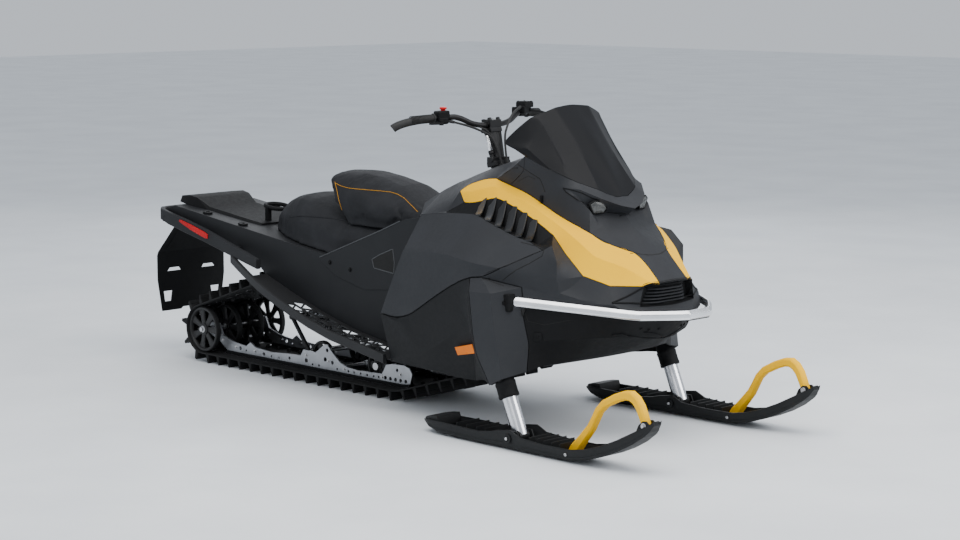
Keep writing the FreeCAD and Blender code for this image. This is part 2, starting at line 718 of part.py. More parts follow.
FRONT_X = size("tunnel_front_x")
REAR_X = size("tunnel_rear_x")
DECK_END_X = size("deck_end_x")
SHEET = size("sheet_thickness")
REAR_ARM_X, FRONT_ARM_X = size("rear_arm_x"), size("front_arm_x")
ARM_SHAFT_HEIGHT = size("arm_shaft_height")
TUNNEL_LOWER_EDGE = [
    (FRONT_X, 205), (494, 196), (358, 197), (150, 205), (-20, 232), (-196, 260), (REAR_ARM_X + 40, 282),
    (REAR_ARM_X + 22, ARM_SHAFT_HEIGHT - 22), (REAR_ARM_X - 22, ARM_SHAFT_HEIGHT - 22),
    (REAR_ARM_X - 40, 304), (-453, 327), (-570, 364), (-680, 402), (-770, 436), (-852, 500),
    (-1089, 564), (REAR_X, 640),
]
tunnel_outside = side_pad(
    "tunnel_outside",
    TUNNEL_LOWER_EDGE
    + [(REAR_X, 652), (DECK_END_X, tunnel_top(DECK_END_X)), (FRONT_X, tunnel_top(FRONT_X))],
    "2 * sizes.tunnel_half_width", 0,
)
tunnel_inside = side_pad(
    "tunnel_inside",
    [(FRONT_X + 50, 0), (REAR_X - 50, 0), (REAR_X - 50, tunnel_top(REAR_X - 50) - SHEET),
     (FRONT_X + 50, tunnel_top(FRONT_X + 50) - SHEET)],
    "2 * (sizes.tunnel_half_width - sizes.sheet_thickness)", 0,
)
node("tunnel", cut("tunnel", tunnel_outside, tunnel_inside))

# Running boards: a sloping floor with a deep outer rail

INNER_Y = size("tunnel_half_width")
BOARD = [
    # x, outer half width, height of the tread
    (494, 345, 198), (358, 347, 205), (150, 352, 213), (140, 366, 214), (-20, 368, 240), (-196, 366, 268),
    (-330, 360, 300), (-453, 352, 335), (-570, 342, 372), (-680, 330, 410), (-770, 312, 442),
]
BOARD_RAIL = [
    (130, 376, 214), (-20, 376, 240), (-196, 374, 268), (-330, 368, 300), (-453, 360, 335),
    (-570, 350, 372), (-680, 338, 410), (-770, 320, 443), (-850, 300, 470), (-925, 280, 496),
]
FLOOR = size("board_thickness")


def board_floor():
    sections = []
    for x, outer, top in BOARD:
        low = top - FLOOR
        sections.append([(x, INNER_Y, top), (x, outer, top), (x, outer, low), (x, INNER_Y, low)])
    return loft_of(sections)


def board_rail():
    return bar_along(BOARD_RAIL, size("board_rail_width") / 2, size("board_rail_height") / 2)


TRUSS_ROWS = ((246, 288), (296, 336))
TRUSS_START, TRUSS_END = -500, 110


def board_openings():
    """Rows of triangles through the tread, points in and points out by turns."""
    pitch, web = size("truss_pitch"), size("truss_web")
    prisms = []
    for low_y, high_y in TRUSS_ROWS:
        for i in range(int((TRUSS_END - TRUSS_START) / pitch)):
            x = TRUSS_START + i * pitch
            base, point = (low_y, high_y) if i % 2 else (high_y, low_y)
            triangle = ((x - pitch + web, base), (x + pitch - web, base), (x, point))
            corners = [Vector(corner_x, y, 150) for corner_x, y in triangle]
            outline = Part.makePolygon(corners + corners[:1])
            prisms.append(Part.Face(outline).extrude(Vector(0, 0, 300)))
    return prisms


board = board_floor().cut(board_openings()).fuse(board_rail())
board = largest(clear_of(board, "lower_panels", "side_panels", "belly_pan"))
feature("running_boards", Part.makeCompound([board, mirrored_shape(board)]))

# Rear bumper: a flat bar down each side of the tunnel, round the tail

REAR_BAR = [
    # x, y, z of its middle line and what its half height has over the bar's own
    (-726, 300, 494, -3), (-800, 290, 508, -1), (-943, 272, 535, 2), (-1120, 258, 574, 5),
    (-1284, 252, 607, 6), (-1400, 247, 629, 4), (-1460, 236, 641, 1), (-1490, 212, 646, 0),
    (-1503, 170, 646, 0), (-1506, 90, 646, 0),
]
bar_path = REAR_BAR + [(x, -y, z, extra) for x, y, z, extra in reversed(REAR_BAR)]
rear_bar = bar_along(bar_path, size("bumper_bar_width") / 2, size("bumper_bar_height") / 2)
bar_lugs = []
for x, height in ((-1440, 612), (-1180, 566), (-960, 520)):
    reach = 262 - INNER_Y if x < -1100 else 270 - INNER_Y
    lug_box = Part.makeBox(30, reach - 8, 24, Vector(x, INNER_Y, height))
    bar_lugs += [lug_box, mirrored_shape(lug_box)]
rear_bumper = clear_of(rear_bar.multiFuse(bar_lugs), "tunnel", "running_boards")
feature("rear_bumper", largest(rear_bumper))

# Tail cover on the tunnel, cargo anchors and reflectors

cover_sections = []
for x, half, rise in ((-1462, 116, 12), (-1448, 138, 26), (-1380, 150, 42), (-1330, 145, 40),
                      (-1264, 130, 12), (-1000, 120, 10), (-925, 110, 8)):
    base = tunnel_top(x) + 0.2
    cover_sections.append([
        (x, half + 12, base), (x, half, base + rise), (x, -half, base + rise), (x, -half - 12, base),
    ])
cover = loft_of(cover_sections)
RING_X, RING_RADIUS, RING_WIRE = -960, 50, 9
ring_height = tunnel_top(RING_X) + 66
ring = Part.makeTorus(RING_RADIUS, RING_WIRE, Vector(RING_X, 0, ring_height), Vector(0.15, 0, 1))
ring_foot_z = tunnel_top(RING_X) + 4
ring_feet = [
    Part.makeBox(16, 22, 62, Vector(RING_X - 8, side * RING_RADIUS - 11, ring_foot_z)) for side in (-1, 1)
]
feature("tail_cover", cover.multiFuse([ring] + ring_feet))

anchors = []
for x in (-1201, -960):
    for side in (1, -1):
        tilt = (size("tunnel_slope"), 0, 1)
        foot = (x, side * 190, tunnel_top(x))
        disc = cylinder("anchor_disc", "sizes.anchor_radius", "sizes.anchor_height", foot, tilt)
        hole = cylinder("anchor_hole", "sizes.anchor_hole_radius", "sizes.anchor_height", foot, tilt)
        anchors.append(cut("anchor", disc, hole))
node("cargo_anchors", compound("cargo_anchors", anchors))

REFLECTOR = [
    # x, y, lower and upper edge on the bar's outer side
    (-1306, 251.5, 622, 630), (-1290, 252, 616, 630), (-1220, 254.5, 592, 616), (-1120, 258, 566, 592),
    (-1098, 260, 566, 584),
]
reflector = loft_of([
    [(x, y + 11.3, high), (x, y + 15, high), (x, y + 15, low), (x, y + 11.3, low)]
    for x, y, low, high in REFLECTOR
])
feature("tail_reflectors", Part.makeCompound([reflector, mirrored_shape(reflector)]))

# Snow flap: a bent sheet with four windows

FLAP_X = REAR_X - 82
FLAP = size("flap_thickness")
FLAP_TOP = 622.3
flap_sheet = side_pad(
    "flap_sheet",
    [(REAR_X - 3, FLAP_TOP), (REAR_X - 5, 600), (FLAP_X, 455), (FLAP_X, 187), (FLAP_X - FLAP, 187),
     (FLAP_X - FLAP, 457), (REAR_X - 5 - FLAP, 601), (REAR_X - 3 - FLAP, FLAP_TOP)],
    "2 * sizes.flap_half_width", 0,
)
FLAP_WINDOWS = [
    # (y, z) corners of the left half's windows
    [(58, 365), (68, 380), (121, 380), (134, 365)],
    [(108, 276), (156, 276), (150, 229), (116, 229)],
]
FLAP_TRIMS = [
    # what is cut away outside the left edge and along the bottom
    [(130, 630), (200, 630), (200, 440), (187, 440), (134, 572)],
    [(187, 330), (200, 330), (200, 180), (164, 180)],
    [(-1, 196), (50, 196), (60, 187), (60, 180), (-1, 180)],
]


def flap_cutter(corners, side):
    points = [Vector(FLAP_X - 40, side * y, z) for y, z in corners]
    return Part.Face(Part.makePolygon(points + points[:1])).extrude(Vector(120, 0, 0))


doc.recompute()
flap = flap_sheet.Shape.cut([flap_cutter(c, side) for c in FLAP_WINDOWS + FLAP_TRIMS for side in (-1, 1)])
brace = loft_of([
    [(x, y + 7, z), (x, y - 7, z), (x + 5, y - 7, z), (x + 5, y + 7, z)]
    for x, y, z in ((REAR_X - 4, 84, 612), (FLAP_X + 6, 136, 470))
])
flap_braces = [brace, mirrored_shape(brace)]
feature("snow_flap", largest(flap.multiFuse(flap_braces)))

# Seats: the passenger seat carries the rider's seat


def seat_sections(rows):
    sections = []
    for low_x, low_z, low_y, mid_y, top_x, top_z, top_y in rows:
        mid_x, mid_z = (low_x + top_x) / 2, (low_z + top_z) / 2
        half = [
            (low_x, low_y, low_z), (mid_x, mid_y, mid_z),
            (top_x, top_y, top_z - 14), (top_x, top_y * 0.6, top_z),
        ]
        sections.append(half + [(x, -y, z) for x, y, z in reversed(half)])
    return sections


def seat_line(x):
    """The height of the top of the passenger seat under the rider."""
    return 685 + max(0, x + 60) * 0.42


REAR_SEAT = [
    (-885, 0, 62, 58, -872, 670, 44), (-855, 0, 98, 92, -832, 710, 70), (-808, 0, 126, 118, -775, 741, 92),
    (-742, 0, 160, 150, -704, 763, 118), (-660, 0, 188, 176, -640, 773, 136),
    (-570, 0, 202, 188, -570, 764, 146),
    (-480, 0, 204, 184, -480, 734, 146),
]
rear_rows = []
for low_x, _, low_y, mid_y, top_x, top_z, top_y in REAR_SEAT:
    rear_rows.append((low_x, tunnel_top(low_x) + 0.3, low_y, mid_y, top_x, top_z, top_y))
for x in (-350, -200, -60, 20, 100):
    rear_rows.append((x, tunnel_top(x) + 0.3, 200, 180, x, seat_line(x), 150))
feature("rear_seat", loft_of(seat_sections(rear_rows)))

FRONT_SEAT = [
    (-345, 140, 148, -520, 861, 110), (-300, 150, 154, -470, 880, 118), (-200, 154, 156, -350, 879, 118),
    (-100, 154, 154, -220, 863, 112), (-20, 152, 150, -105, 838, 106), (50, 150, 146, -20, 800, 100),
    (100, 146, 140, 62, 766, 98),
]
front_rows = []
for low_x, low_y, mid_y, top_x, top_z, top_y in FRONT_SEAT:
    front_rows.append((low_x, seat_line(low_x) + 0.3, low_y, mid_y, top_x, top_z, top_y))
feature("front_seat", loft_of(seat_sections(front_rows)))

# Seat side plates, from the tunnel's side up to the seat

bracket = side_pad(
    "seat_bracket",
    [(-430, 541), (-386, 556), (-54, 683), (90, 742), (235, 770), (235, 560), (150, 470), (-150, 440),
     (-330, 480)],
    "sizes.sheet_thickness", -(INNER_Y + SHEET / 2),
)
pair("seat_brackets", bracket)

# Track: one closed loop of belt with lugs

BELT_HALF = size("belt_thickness") / 2
BELT_Z = size("lug_height") + BELT_HALF
BELT_OUT = BELT_HALF + size("belt_clearance")
REAR_TURN = size("rear_wheel_radius") + BELT_OUT
CARRIER_X, CARRIER_Z = size("carrier_x"), size("carrier_height")
LOOP_CIRCLES = [
    # centre x, centre z, radius of the belt's middle line, in the order the belt meets them
    (size("rear_axle_x"), BELT_Z + REAR_TURN, REAR_TURN),
    (size("ramp_start_x"), BELT_Z + size("ramp_radius"), size("ramp_radius")),
    (size("drive_axle_x"), size("drive_axle_height"), size("drive_wheel_radius") + BELT_OUT),
    (CARRIER_X, CARRIER_Z, size("idler_radius") + BELT_OUT),
]


def tangent_angle(first, second):
    """The direction, from +X, of the belt's run below two circles."""
    run = math.atan2(second[1] - first[1], second[0] - first[0])
    gap = math.hypot(second[0] - first[0], second[1] - first[1])
    return run + math.asin((second[2] - first[2]) / -gap)


def belt_runs():
    """The belt's middle line in pieces (kind, length, data), anticlockwise from below the rear wheel."""
    count = len(LOOP_CIRCLES)
    angles = [tangent_angle(LOOP_CIRCLES[i], LOOP_CIRCLES[(i + 1) % count]) for i in range(count)]
    runs = []
    for i, circle in enumerate(LOOP_CIRCLES):
        following = LOOP_CIRCLES[(i + 1) % count]
        angle = angles[i]
        start = (circle[0] + circle[2] * math.sin(angle), circle[1] - circle[2] * math.cos(angle))
        end = (following[0] + following[2] * math.sin(angle), following[1] - following[2] * math.cos(angle))
        runs.append(("line", math.dist(start, end), (start, angle)))
        turn = (angles[(i + 1) % count] - angle) % (2 * math.pi)
        runs.append(("arc", turn * following[2], (following, angle)))
    return runs


BELT_RUNS = belt_runs()
BELT_LENGTH = sum(run[1] for run in BELT_RUNS)
LUG_PITCH = BELT_LENGTH / size("lug_count")


def on_belt(distance, out):
    """The point at a distance along the belt, moved outward by out."""
    left = distance % BELT_LENGTH
    for kind, length, data in BELT_RUNS:
        if left <= length:
            break
        left -= length
    if kind == "line":
        (x, z), angle = data
        x, z = x + left * math.cos(angle), z + left * math.sin(angle)
    else:
        (centre_x, centre_z, radius), angle = data
        angle = angle + left / radius
        x, z = centre_x + radius * math.sin(angle), centre_z - radius * math.cos(angle)
    return Vector(x + out * math.sin(angle), 0, z - out * math.cos(angle))


def belt_ring(with_lugs):
    """The loop's outline in the side view, with or without lugs."""
    outer = []
    for i in range(int(size("lug_count"))):
        middle = i * LUG_PITCH + LUG_PITCH / 2
        reach = size("lug_root") / 2
        if with_lugs:
            outer.append(on_belt(middle - reach, BELT_HALF))
            outer.append(on_belt(middle - size("lug_tip") / 2, BELT_HALF + size("lug_height")))
            outer.append(on_belt(middle + size("lug_tip") / 2, BELT_HALF + size("lug_height")))
            outer.append(on_belt(middle + reach, BELT_HALF))
        else:
            outer.append(on_belt(middle - reach, BELT_HALF))
            outer.append(on_belt(middle + reach, BELT_HALF))
        outer.append(on_belt(middle + LUG_PITCH / 2, BELT_HALF))
    inner = [on_belt(i * LUG_PITCH / 3, -BELT_HALF) for i in range(3 * int(size("lug_count")))]
    face = Part.Face(Part.makePolygon(outer + outer[:1]))
    return face.cut(Part.Face(Part.makePolygon(inner + inner[:1])))


def track_shape():
    """Slabs side by side across the track: lugs at both edges and in the middle."""
    half = size("track_width") / 2
    centre = size("lug_centre_half")
    gap = size("lug_gap")
    stations = [-half, -centre - gap, -centre, centre, centre + gap, half]
    slabs = []
    for i, (start, end) in enumerate(zip(stations, stations[1:])):
        ring = belt_ring(with_lugs=i % 2 == 0)
        ring.translate(Vector(0, start, 0))
        slabs.append(ring.extrude(Vector(0, end - start, 0)))
    return slabs[0].multiFuse(slabs[1:]).removeSplitter()


feature("track", track_shape())

# Slide rails with their wear strips

SLIDER_TOP = size("lug_height") + size("belt_thickness") + 0.3 + size("slider_height")
SLIDER_LOW = SLIDER_TOP - size("slider_height")
RAMP_X = size("ramp_start_x")
RAIL_Y = size("rail_half_gauge")
AXLE_Z = LOOP_CIRCLES[0][1]


def ramp_arc(height, turns):
    """Points where a rail's lower edge curves up with the belt."""
    radius = size("ramp_radius") + BELT_Z - height
    return [(RAMP_X + radius * math.sin(turn), height + radius * (1 - math.cos(turn))) for turn in turns]


CURVE = [math.radians(turn) for turn in (0, 4, 8, 12)]
slider_outline = [(-1150, SLIDER_LOW)] + ramp_arc(SLIDER_LOW, CURVE) + ramp_arc(SLIDER_TOP, CURVE)[::-1]
slider_outline += [(-1150, SLIDER_TOP)]
RAIL_TOP = [
    (28, 105), (12, 128), (-20, 136), (-95, 132), (-125, 126), (-150, 86), (-191, 84), (-307, 78),
    (-363, 84), (-406, 98), (-455, 134), (-487, 164), (-505, 162), (-560, 122), (-600, 124), (-640, 124),
    (-658, 96), (-760, 92), (-851, 86),
    (-960, 94), (-992, 112), (-1020, 92), (-1110, 102), (-1180, 122), (-1205, 172), (-1278, 172),
    (-1278, 122), (-1200, 92), (-1150, SLIDER_TOP),
]
rail_outline = ramp_arc(SLIDER_TOP, CURVE) + RAIL_TOP
RAIL_HOLES = [(x, 69, 5) for x in (-170, -200, -240, -280, -320, -355, -425, -540, -580, -800, -850)]
RAIL_HOLES += [(x, 72, 8) for x in (-130, -100, -70, -40, -10)]
RAIL_HOLES += [(-500, 100, 9), (-730, 76, 7), (-900, 72, 8), (-1060, 78, 8), (-487, 140, 8), (-455, 92, 8)]
RAIL_HOLES += [(-1020, 72, 5), (-60, 112, 7), (-620, 80, 10)]
RAIL_BORES = [(size("rear_axle_x"), AXLE_Z, size("axle_radius") + 0.05)]
rail = side_pad("rail_plate", rail_outline, "sizes.rail_thickness", -RAIL_Y, RAIL_HOLES + RAIL_BORES)
slider = side_pad("rail_slider", slider_outline, "2 * sizes.slider_half_width", -RAIL_Y)
pair("slide_rails", fuse("rail_right", [rail, slider]))

# Wheels inside the track


SPOKES = 8
WHEEL_HUB, WHEEL_RIM = 26, 14


def wheel(name, radius, x, y, z):
    """A wheel with a rim, a web with round openings and a hub."""
    tyre = cross_cylinder(name + "_tyre", radius, "sizes.wheel_width", x, y, z)
    bed = cross_cylinder(name + "_bed", "%s - %d" % (radius, WHEEL_RIM), "sizes.wheel_width", x, y, z)
    web = cross_cylinder(name + "_web", "%s - %d" % (radius, WHEEL_RIM - 1), "6", x, y, z)
    hub = cross_cylinder(name + "_hub", str(WHEEL_HUB), "sizes.wheel_width", x, y, z)
    outer = size(radius.split(".")[1]) - WHEEL_RIM
    middle = (outer + WHEEL_HUB) / 2
    hole = min((outer - WHEEL_HUB) / 2 - 2, middle * math.sin(math.pi / SPOKES) - 4)
    holes = []
    for i in range(SPOKES):
        turn = 2 * math.pi * (i + 0.5) / SPOKES
        at_x, at_z = x + middle * math.cos(turn), z + middle * math.sin(turn)
        holes.append(cross_cylinder(name + "_opening", str(hole), "30", at_x, y, at_z))
    open_web = cut(name + "_open_web", web, compound(name + "_openings", holes))
    return [cut(name + "_rim", tyre, bed), open_web, hub]


rear_axle_parts = [cross_cylinder(
    "rear_axle", "sizes.axle_radius", "2 * sizes.rear_wheel_gauge + sizes.wheel_width",
    size("rear_axle_x"), 0, AXLE_Z,
)]
for i, y in enumerate((-size("rear_wheel_gauge"), -62, 62, size("rear_wheel_gauge"))):
    rear_axle_parts += wheel("rear_wheel_%d" % i, "sizes.rear_wheel_radius", size("rear_axle_x"), y, AXLE_Z)
node("rear_axle_wheels", fuse("rear_axle_wheels", rear_axle_parts))

IDLER_Z = SLIDER_LOW + size("idler_radius")
idlers = []
IDLER_Y = RAIL_Y - size("slider_half_width") - size("wheel_width") / 2 - 1
for i, x in enumerate((-545, -200)):
    for side in (-1, 1):
        y = side * IDLER_Y
        name = "idler_%d_%s" % (i, "right" if side < 0 else "left")
        inner = side * (RAIL_Y - size("rail_thickness") / 2)
        hub = cylinder(name + "_stub", "16", "12", (x, inner, IDLER_Z), (0, -side, 0))
        idlers.append(fuse(name, wheel(name, "sizes.idler_radius", x, y, IDLER_Z) + [hub]))
SHAFT_SPAN = "2 * (sizes.tunnel_half_width - sizes.sheet_thickness)"
carrier = [cross_cylinder("carrier_shaft", "sizes.arm_radius", SHAFT_SPAN, CARRIER_X, 0, CARRIER_Z)]
for side in (-1, 1):
    carrier += wheel("carrier_wheel", "sizes.idler_radius", CARRIER_X, side * IDLER_Y, CARRIER_Z)
idlers.append(fuse("carrier", carrier))
node("idler_wheels", compound("idler_wheels", idlers))

# Suspension arms between the tunnel and the rails


RAIL_SPAN = "2 * sizes.rail_half_gauge - sizes.rail_thickness"


def rod_between(name, radius, start, end):
    run = Vector(*end) - Vector(*start)
    return cylinder(name, radius, str(run.Length), start, run)


def both_sides(name, radius, start, end):
    """Two equal rods, one each side of the machine."""
    rods = []
    for side in (-1, 1):
        near = (start[0], side * start[1], start[2])
        far = (end[0], side * end[1], end[2])
        rods.append(rod_between(name, radius, near, far))
    return rods


def on_arm(start, end, share):
    return tuple(start[i] + (end[i] - start[i]) * share for i in range(3))


FRONT_TOP, FRONT_FOOT = (FRONT_ARM_X, 64, ARM_SHAFT_HEIGHT), (-60, 58, 108)
REAR_TOP, REAR_CRANK, REAR_FOOT = (REAR_ARM_X, 110, ARM_SHAFT_HEIGHT), (-740, 108, 250), (-625, 108, 110)
FRONT_HEAD = on_arm(FRONT_FOOT, FRONT_TOP, 0.5)
front_arm = fuse("front_arm", [
    cross_cylinder("front_shaft", "sizes.arm_radius", SHAFT_SPAN, FRONT_TOP[0], 0, FRONT_TOP[2]),
    cross_cylinder("front_foot", "sizes.arm_radius", RAIL_SPAN, FRONT_FOOT[0], 0, FRONT_FOOT[2]),
    cross_cylinder("front_head", "sizes.arm_radius", str(2 * FRONT_HEAD[1]), FRONT_HEAD[0], 0, FRONT_HEAD[2]),
] + both_sides("front_leg", "sizes.arm_radius", FRONT_TOP, FRONT_FOOT))
rear_arm = fuse("rear_arm", [
    cross_cylinder("rear_shaft", "sizes.arm_radius", SHAFT_SPAN, REAR_TOP[0], 0, REAR_TOP[2]),
    cross_cylinder("rear_crank", "sizes.arm_radius", "232", REAR_CRANK[0], 0, REAR_CRANK[2]),
    cross_cylinder("rear_foot", "sizes.arm_radius", RAIL_SPAN, REAR_FOOT[0], 0, REAR_FOOT[2]),
] + both_sides("rear_leg", "sizes.arm_radius", REAR_TOP, REAR_CRANK)
    + both_sides("rear_link", "9", REAR_CRANK, REAR_FOOT))
node("suspension_arms", compound("suspension_arms", [front_arm, rear_arm]))


def shock(name, foot, head, rod):
    """A damper with its coil between two seats, from a shaft between the rails to an arm."""
    run = Vector(*head) - Vector(*foot)
    direction = Vector(run)
    direction.normalize()
    foot_at = Vector(*foot)
    low_seat, high_seat = run.Length * 0.13, run.Length * 0.83
    parts = [cross_cylinder(name + "_shaft", "10", RAIL_SPAN, foot[0], foot[1], foot[2])]
    parts.append(cylinder(name + "_rod", rod, str(run.Length), foot, run))
    body_foot = foot_at + direction * (run.Length * 0.15)
    parts.append(cylinder(name + "_body", "17", str(run.Length * 0.62), body_foot, run))
    for distance in (low_seat, high_seat):
        parts.append(cylinder(name + "_seat", "31", "6", foot_at + direction * distance, run))
    doc.recompute()
    damper = parts[0].Shape.multiFuse([part.Shape for part in parts[1:]])
    wire = size("coil_wire_radius")
    rise = high_seat - low_seat - 6 - 2 * wire - 0.6
    helix = Part.makeHelix(rise / 8, rise, size("coil_radius"))
    ring = Part.Wire(Part.makeCircle(wire, Vector(size("coil_radius"), 0, 0), Vector(0, 1, 0)))
    coil = Part.Wire(helix.Edges).makePipeShell([ring], True, True)
    coil.Placement = turned_to(foot_at + direction * (low_seat + 6 + wire + 0.3), run)
    return Part.makeCompound([damper, coil])


shocks = [
    shock("front_shock", (-385, 0, 80), (FRONT_HEAD[0], 0, FRONT_HEAD[2]), "8"),
    shock("rear_shock", (-475, 0, 142), (REAR_CRANK[0], 0, REAR_CRANK[2]), "9"),
]
feature("shock_absorbers", clear_of(Part.makeCompound(shocks), "suspension_arms", "slide_rails"))

# Drive axle at the front of the track

drive_parts = [cross_cylinder(
    "drive_shaft", "sizes.arm_radius", SHAFT_SPAN, size("drive_axle_x"), 0, size("drive_axle_height")
)]
for i, y in enumerate((-150, -60, 60, 150)):
    drive_parts += wheel(
        "drive_wheel_%d" % i, "sizes.drive_wheel_radius", size("drive_axle_x"), y, size("drive_axle_height")
    )
node("drive_axle", fuse("drive_axle", drive_parts))

# Strut tubes with the collars at their lower ends


def on_strut(height, side):
    return (strut_x(height), side * STANCE, height)


def strut_length(low, high):
    return (high - low) / math.cos(STRUT_RAKE)


tubes = []
TUBE_LOW, TUBE_HIGH = size("collar_bottom_height"), size("strut_top_height")
for side in (-1, 1):
    length = str(strut_length(TUBE_LOW, TUBE_HIGH))
    collar_length = str(strut_length(TUBE_LOW, size("collar_top_height")))
    foot = on_strut(TUBE_LOW, side)
    inner_radius = "sizes.leg_radius + sizes.running_gap"
    outside = cylinder("tube", inner_radius + " + sizes.strut_tube_wall", length, foot, STRUT_UP)
    collar = cylinder("collar", "sizes.collar_radius", collar_length, foot, STRUT_UP)
    bore = cylinder("tube_bore", inner_radius, length, foot, STRUT_UP)
    tubes.append(cut("strut_tube", fuse("tube_solid", [outside, collar]), bore))
node("strut_tubes", compound("strut_tubes", tubes))

# Front frame, hidden in the body: it carries the engine, the struts and the steering bearing


def two_sided(shape):
    return [shape, mirrored_shape(shape)]


PLATE_Y = INNER_Y - SHEET - 5
UPPER_ARM = (strut_x(455), 455)
LOWER_BAR = (strut_x(330), 330)
frame_shapes = two_sided(Part.makeBox(460, 5, 120, Vector(470, PLATE_Y, 300)))
frame_shapes += two_sided(Part.makeBox(40, 5, 100, Vector(UPPER_ARM[0] - 20, PLATE_Y, 400)))
frame_shapes += two_sided(Part.makeBox(34, 5, 60, Vector(852, PLATE_Y, 250)))
for x in (600, 860):
    frame_shapes.append(Part.makeBox(40, 2 * PLATE_Y, 25, Vector(x, -PLATE_Y, 330)))
ACROSS = Vector(0, 1, 0)
frame_shapes.append(Part.makeCylinder(14, 2 * STANCE, Vector(LOWER_BAR[0], -STANCE, LOWER_BAR[1]), ACROSS))
upper_arm = Part.makeCylinder(14, STANCE - PLATE_Y, Vector(UPPER_ARM[0], PLATE_Y, UPPER_ARM[1]), ACROSS)
frame_shapes += two_sided(upper_arm)
frame_shapes += two_sided(Part.makeBox(282, 16, 16, Vector(918, 104, 492)))
frame_shapes += two_sided(Part.makeBox(12, PLATE_Y - 104, 16, Vector(918, 104, 404)))
frame_shapes += two_sided(Part.makeBox(12, 16, 100, Vector(918, 104, 404)))
front_frame = frame_shapes[0].multiFuse(frame_shapes[1:])
bearing_foot = on_steering(-100)
bearing = Part.makeCylinder(26, 60, Vector(*bearing_foot), Vector(*STEERING_UP))
bearing_bore = Part.makeCylinder(
    size("post_radius") + size("running_gap"), 300, Vector(*on_steering(-180)), Vector(*STEERING_UP)
)
bearing_middle = Vector(*on_steering(-75))
bearing_shapes = []
for side in (-1, 1):
    leg_foot = Vector(470, side * 150, tunnel_top(470) - 10)
    leg_run = bearing_middle - leg_foot
    bearing_shapes.append(Part.makeCylinder(11, leg_run.Length, leg_foot, leg_run))
bearing = bearing.multiFuse(bearing_shapes).cut(bearing_bore)
feature("steering_bearing", largest(clear_of(bearing, "tunnel")))

room_radius = size("leg_radius") + size("running_gap") + 2
tube_room = [
    Part.makeCylinder(room_radius, 700, Vector(*on_strut(TUBE_LOW - 60, side)), Vector(*STRUT_UP))
    for side in (-1, 1)
]
front_frame = front_frame.cut(tube_room)
front_frame = clear_of(front_frame, "strut_tubes", "tunnel", "belly_pan", "nose_sides", "strut_covers")
feature("front_frame", largest(front_frame))

node("engine", block(
    "engine_block", "sizes.engine_length", "sizes.engine_width", "sizes.engine_height", (585, -180, 355)
))

# Front bumper: a flat bar round the nose on two stays

FRONT_BAR = [(870, 422, 524), (1245, 214, 492), (1275, 193, 490), (1362, 88, 490), (1382, 55, 490)]
front_path = FRONT_BAR + [(x, -y, z) for x, y, z in reversed(FRONT_BAR)]
front_bar = bar_along(front_path, size("front_bar_width") / 2, size("front_bar_height") / 2)
stays = two_sided(Part.makeBox(200, 16, 16, Vector(1148, 104, 492)))
front_bumper = front_bar.multiFuse(stays)
front_bumper = clear_of(
    front_bumper, "strut_covers", "nose_sides", "belly_pan", "front_frame", "front_grille"
)
feature("front_bumper", largest(front_bumper))

# Amber markers on the lower panels

MARKER = [(566, 415, 319), (666, 425, 344), (682, 425, 312), (577, 410, 290)]
marker = loft_of([[(x, y - 16, z) for x, y, z in MARKER], [(x, y + 7, z) for x, y, z in MARKER]])
marker = largest(clear_of(marker, "lower_panels"))
feature("side_markers", Part.makeCompound(two_sided(marker)))

# Steering post with its clamp, and the handlebar

CLAMP = on_steering(size("bar_centre_rise"))
post_length = size("bar_centre_rise") + 100
post = cylinder("post_tube", "sizes.post_radius", str(post_length), on_steering(-100), STEERING_UP)
clamp_block = block("clamp_block", "46", "60", "44", (CLAMP[0] - 23, -30, CLAMP[2] - 22))
plate_foot = on_steering(4)
lower_bracket = block("post_bracket", "40", "84", "26", (plate_foot[0] - 22, -42, plate_foot[2] - 4))
hose_ring = cylinder("hose_ring", "38", "8", on_steering(-32), STEERING_UP)
link = rod_between("post_link", "6", on_steering(20, 8, -34), on_steering(134, -4, -34))
link_end = block("link_end", "30", "30", "14", (CLAMP[0] - 13, -44, CLAMP[2] - 30))
bar_room = cross_cylinder("bar_room", "sizes.bar_radius", "70", CLAMP[0], 0, CLAMP[2])
post_solid = fuse("post_solid", [post, clamp_block, lower_bracket, link, link_end, hose_ring])
node("steering_post", cut("steering_post", post_solid, bar_room))

BAR_HALF = [
    (CLAMP[0], 0, CLAMP[2]), (CLAMP[0], 85, CLAMP[2]), (322, 160, 1150), (300, 195, 1150), (245, 385, 1140),
    (222, 412, 1112),
]
bar_line = [(x, -y, z) for x, y, z in reversed(BAR_HALF[1:])] + BAR_HALF[1:]
bar = tube_along(bar_line, size("bar_radius"), 0.4)
feature("handlebar", bar)

GRIP_LINE = [(282, 255, 1146.8), (245, 385, 1140), (222, 412, 1112)]
grip = tube_along(GRIP_LINE, size("grip_radius"), 0.4)
grip = grip.cut(bar)
feature("hand_grips", clear_of(Part.makeCompound(two_sided(grip)), "handlebar"))

left_block = Part.makeBox(54, 66, 46, Vector(284, 168, 1128)).cut(bar)
right_block = Part.makeBox(52, 58, 58, Vector(266, -250, 1114)).cut(bar)
lever = tube_along([(322, 196, 1158), (330, 250, 1150), (300, 380, 1128)], 6, 0.4)
feature("control_blocks", Part.makeCompound([left_block.fuse(lever.cut(bar)), right_block]))
feature("stop_switch", Part.makeCylinder(13, 14, Vector(290, -212, 1172)))

# Brake hose and throttle cable: along the bar, then down before the post into a ring on it

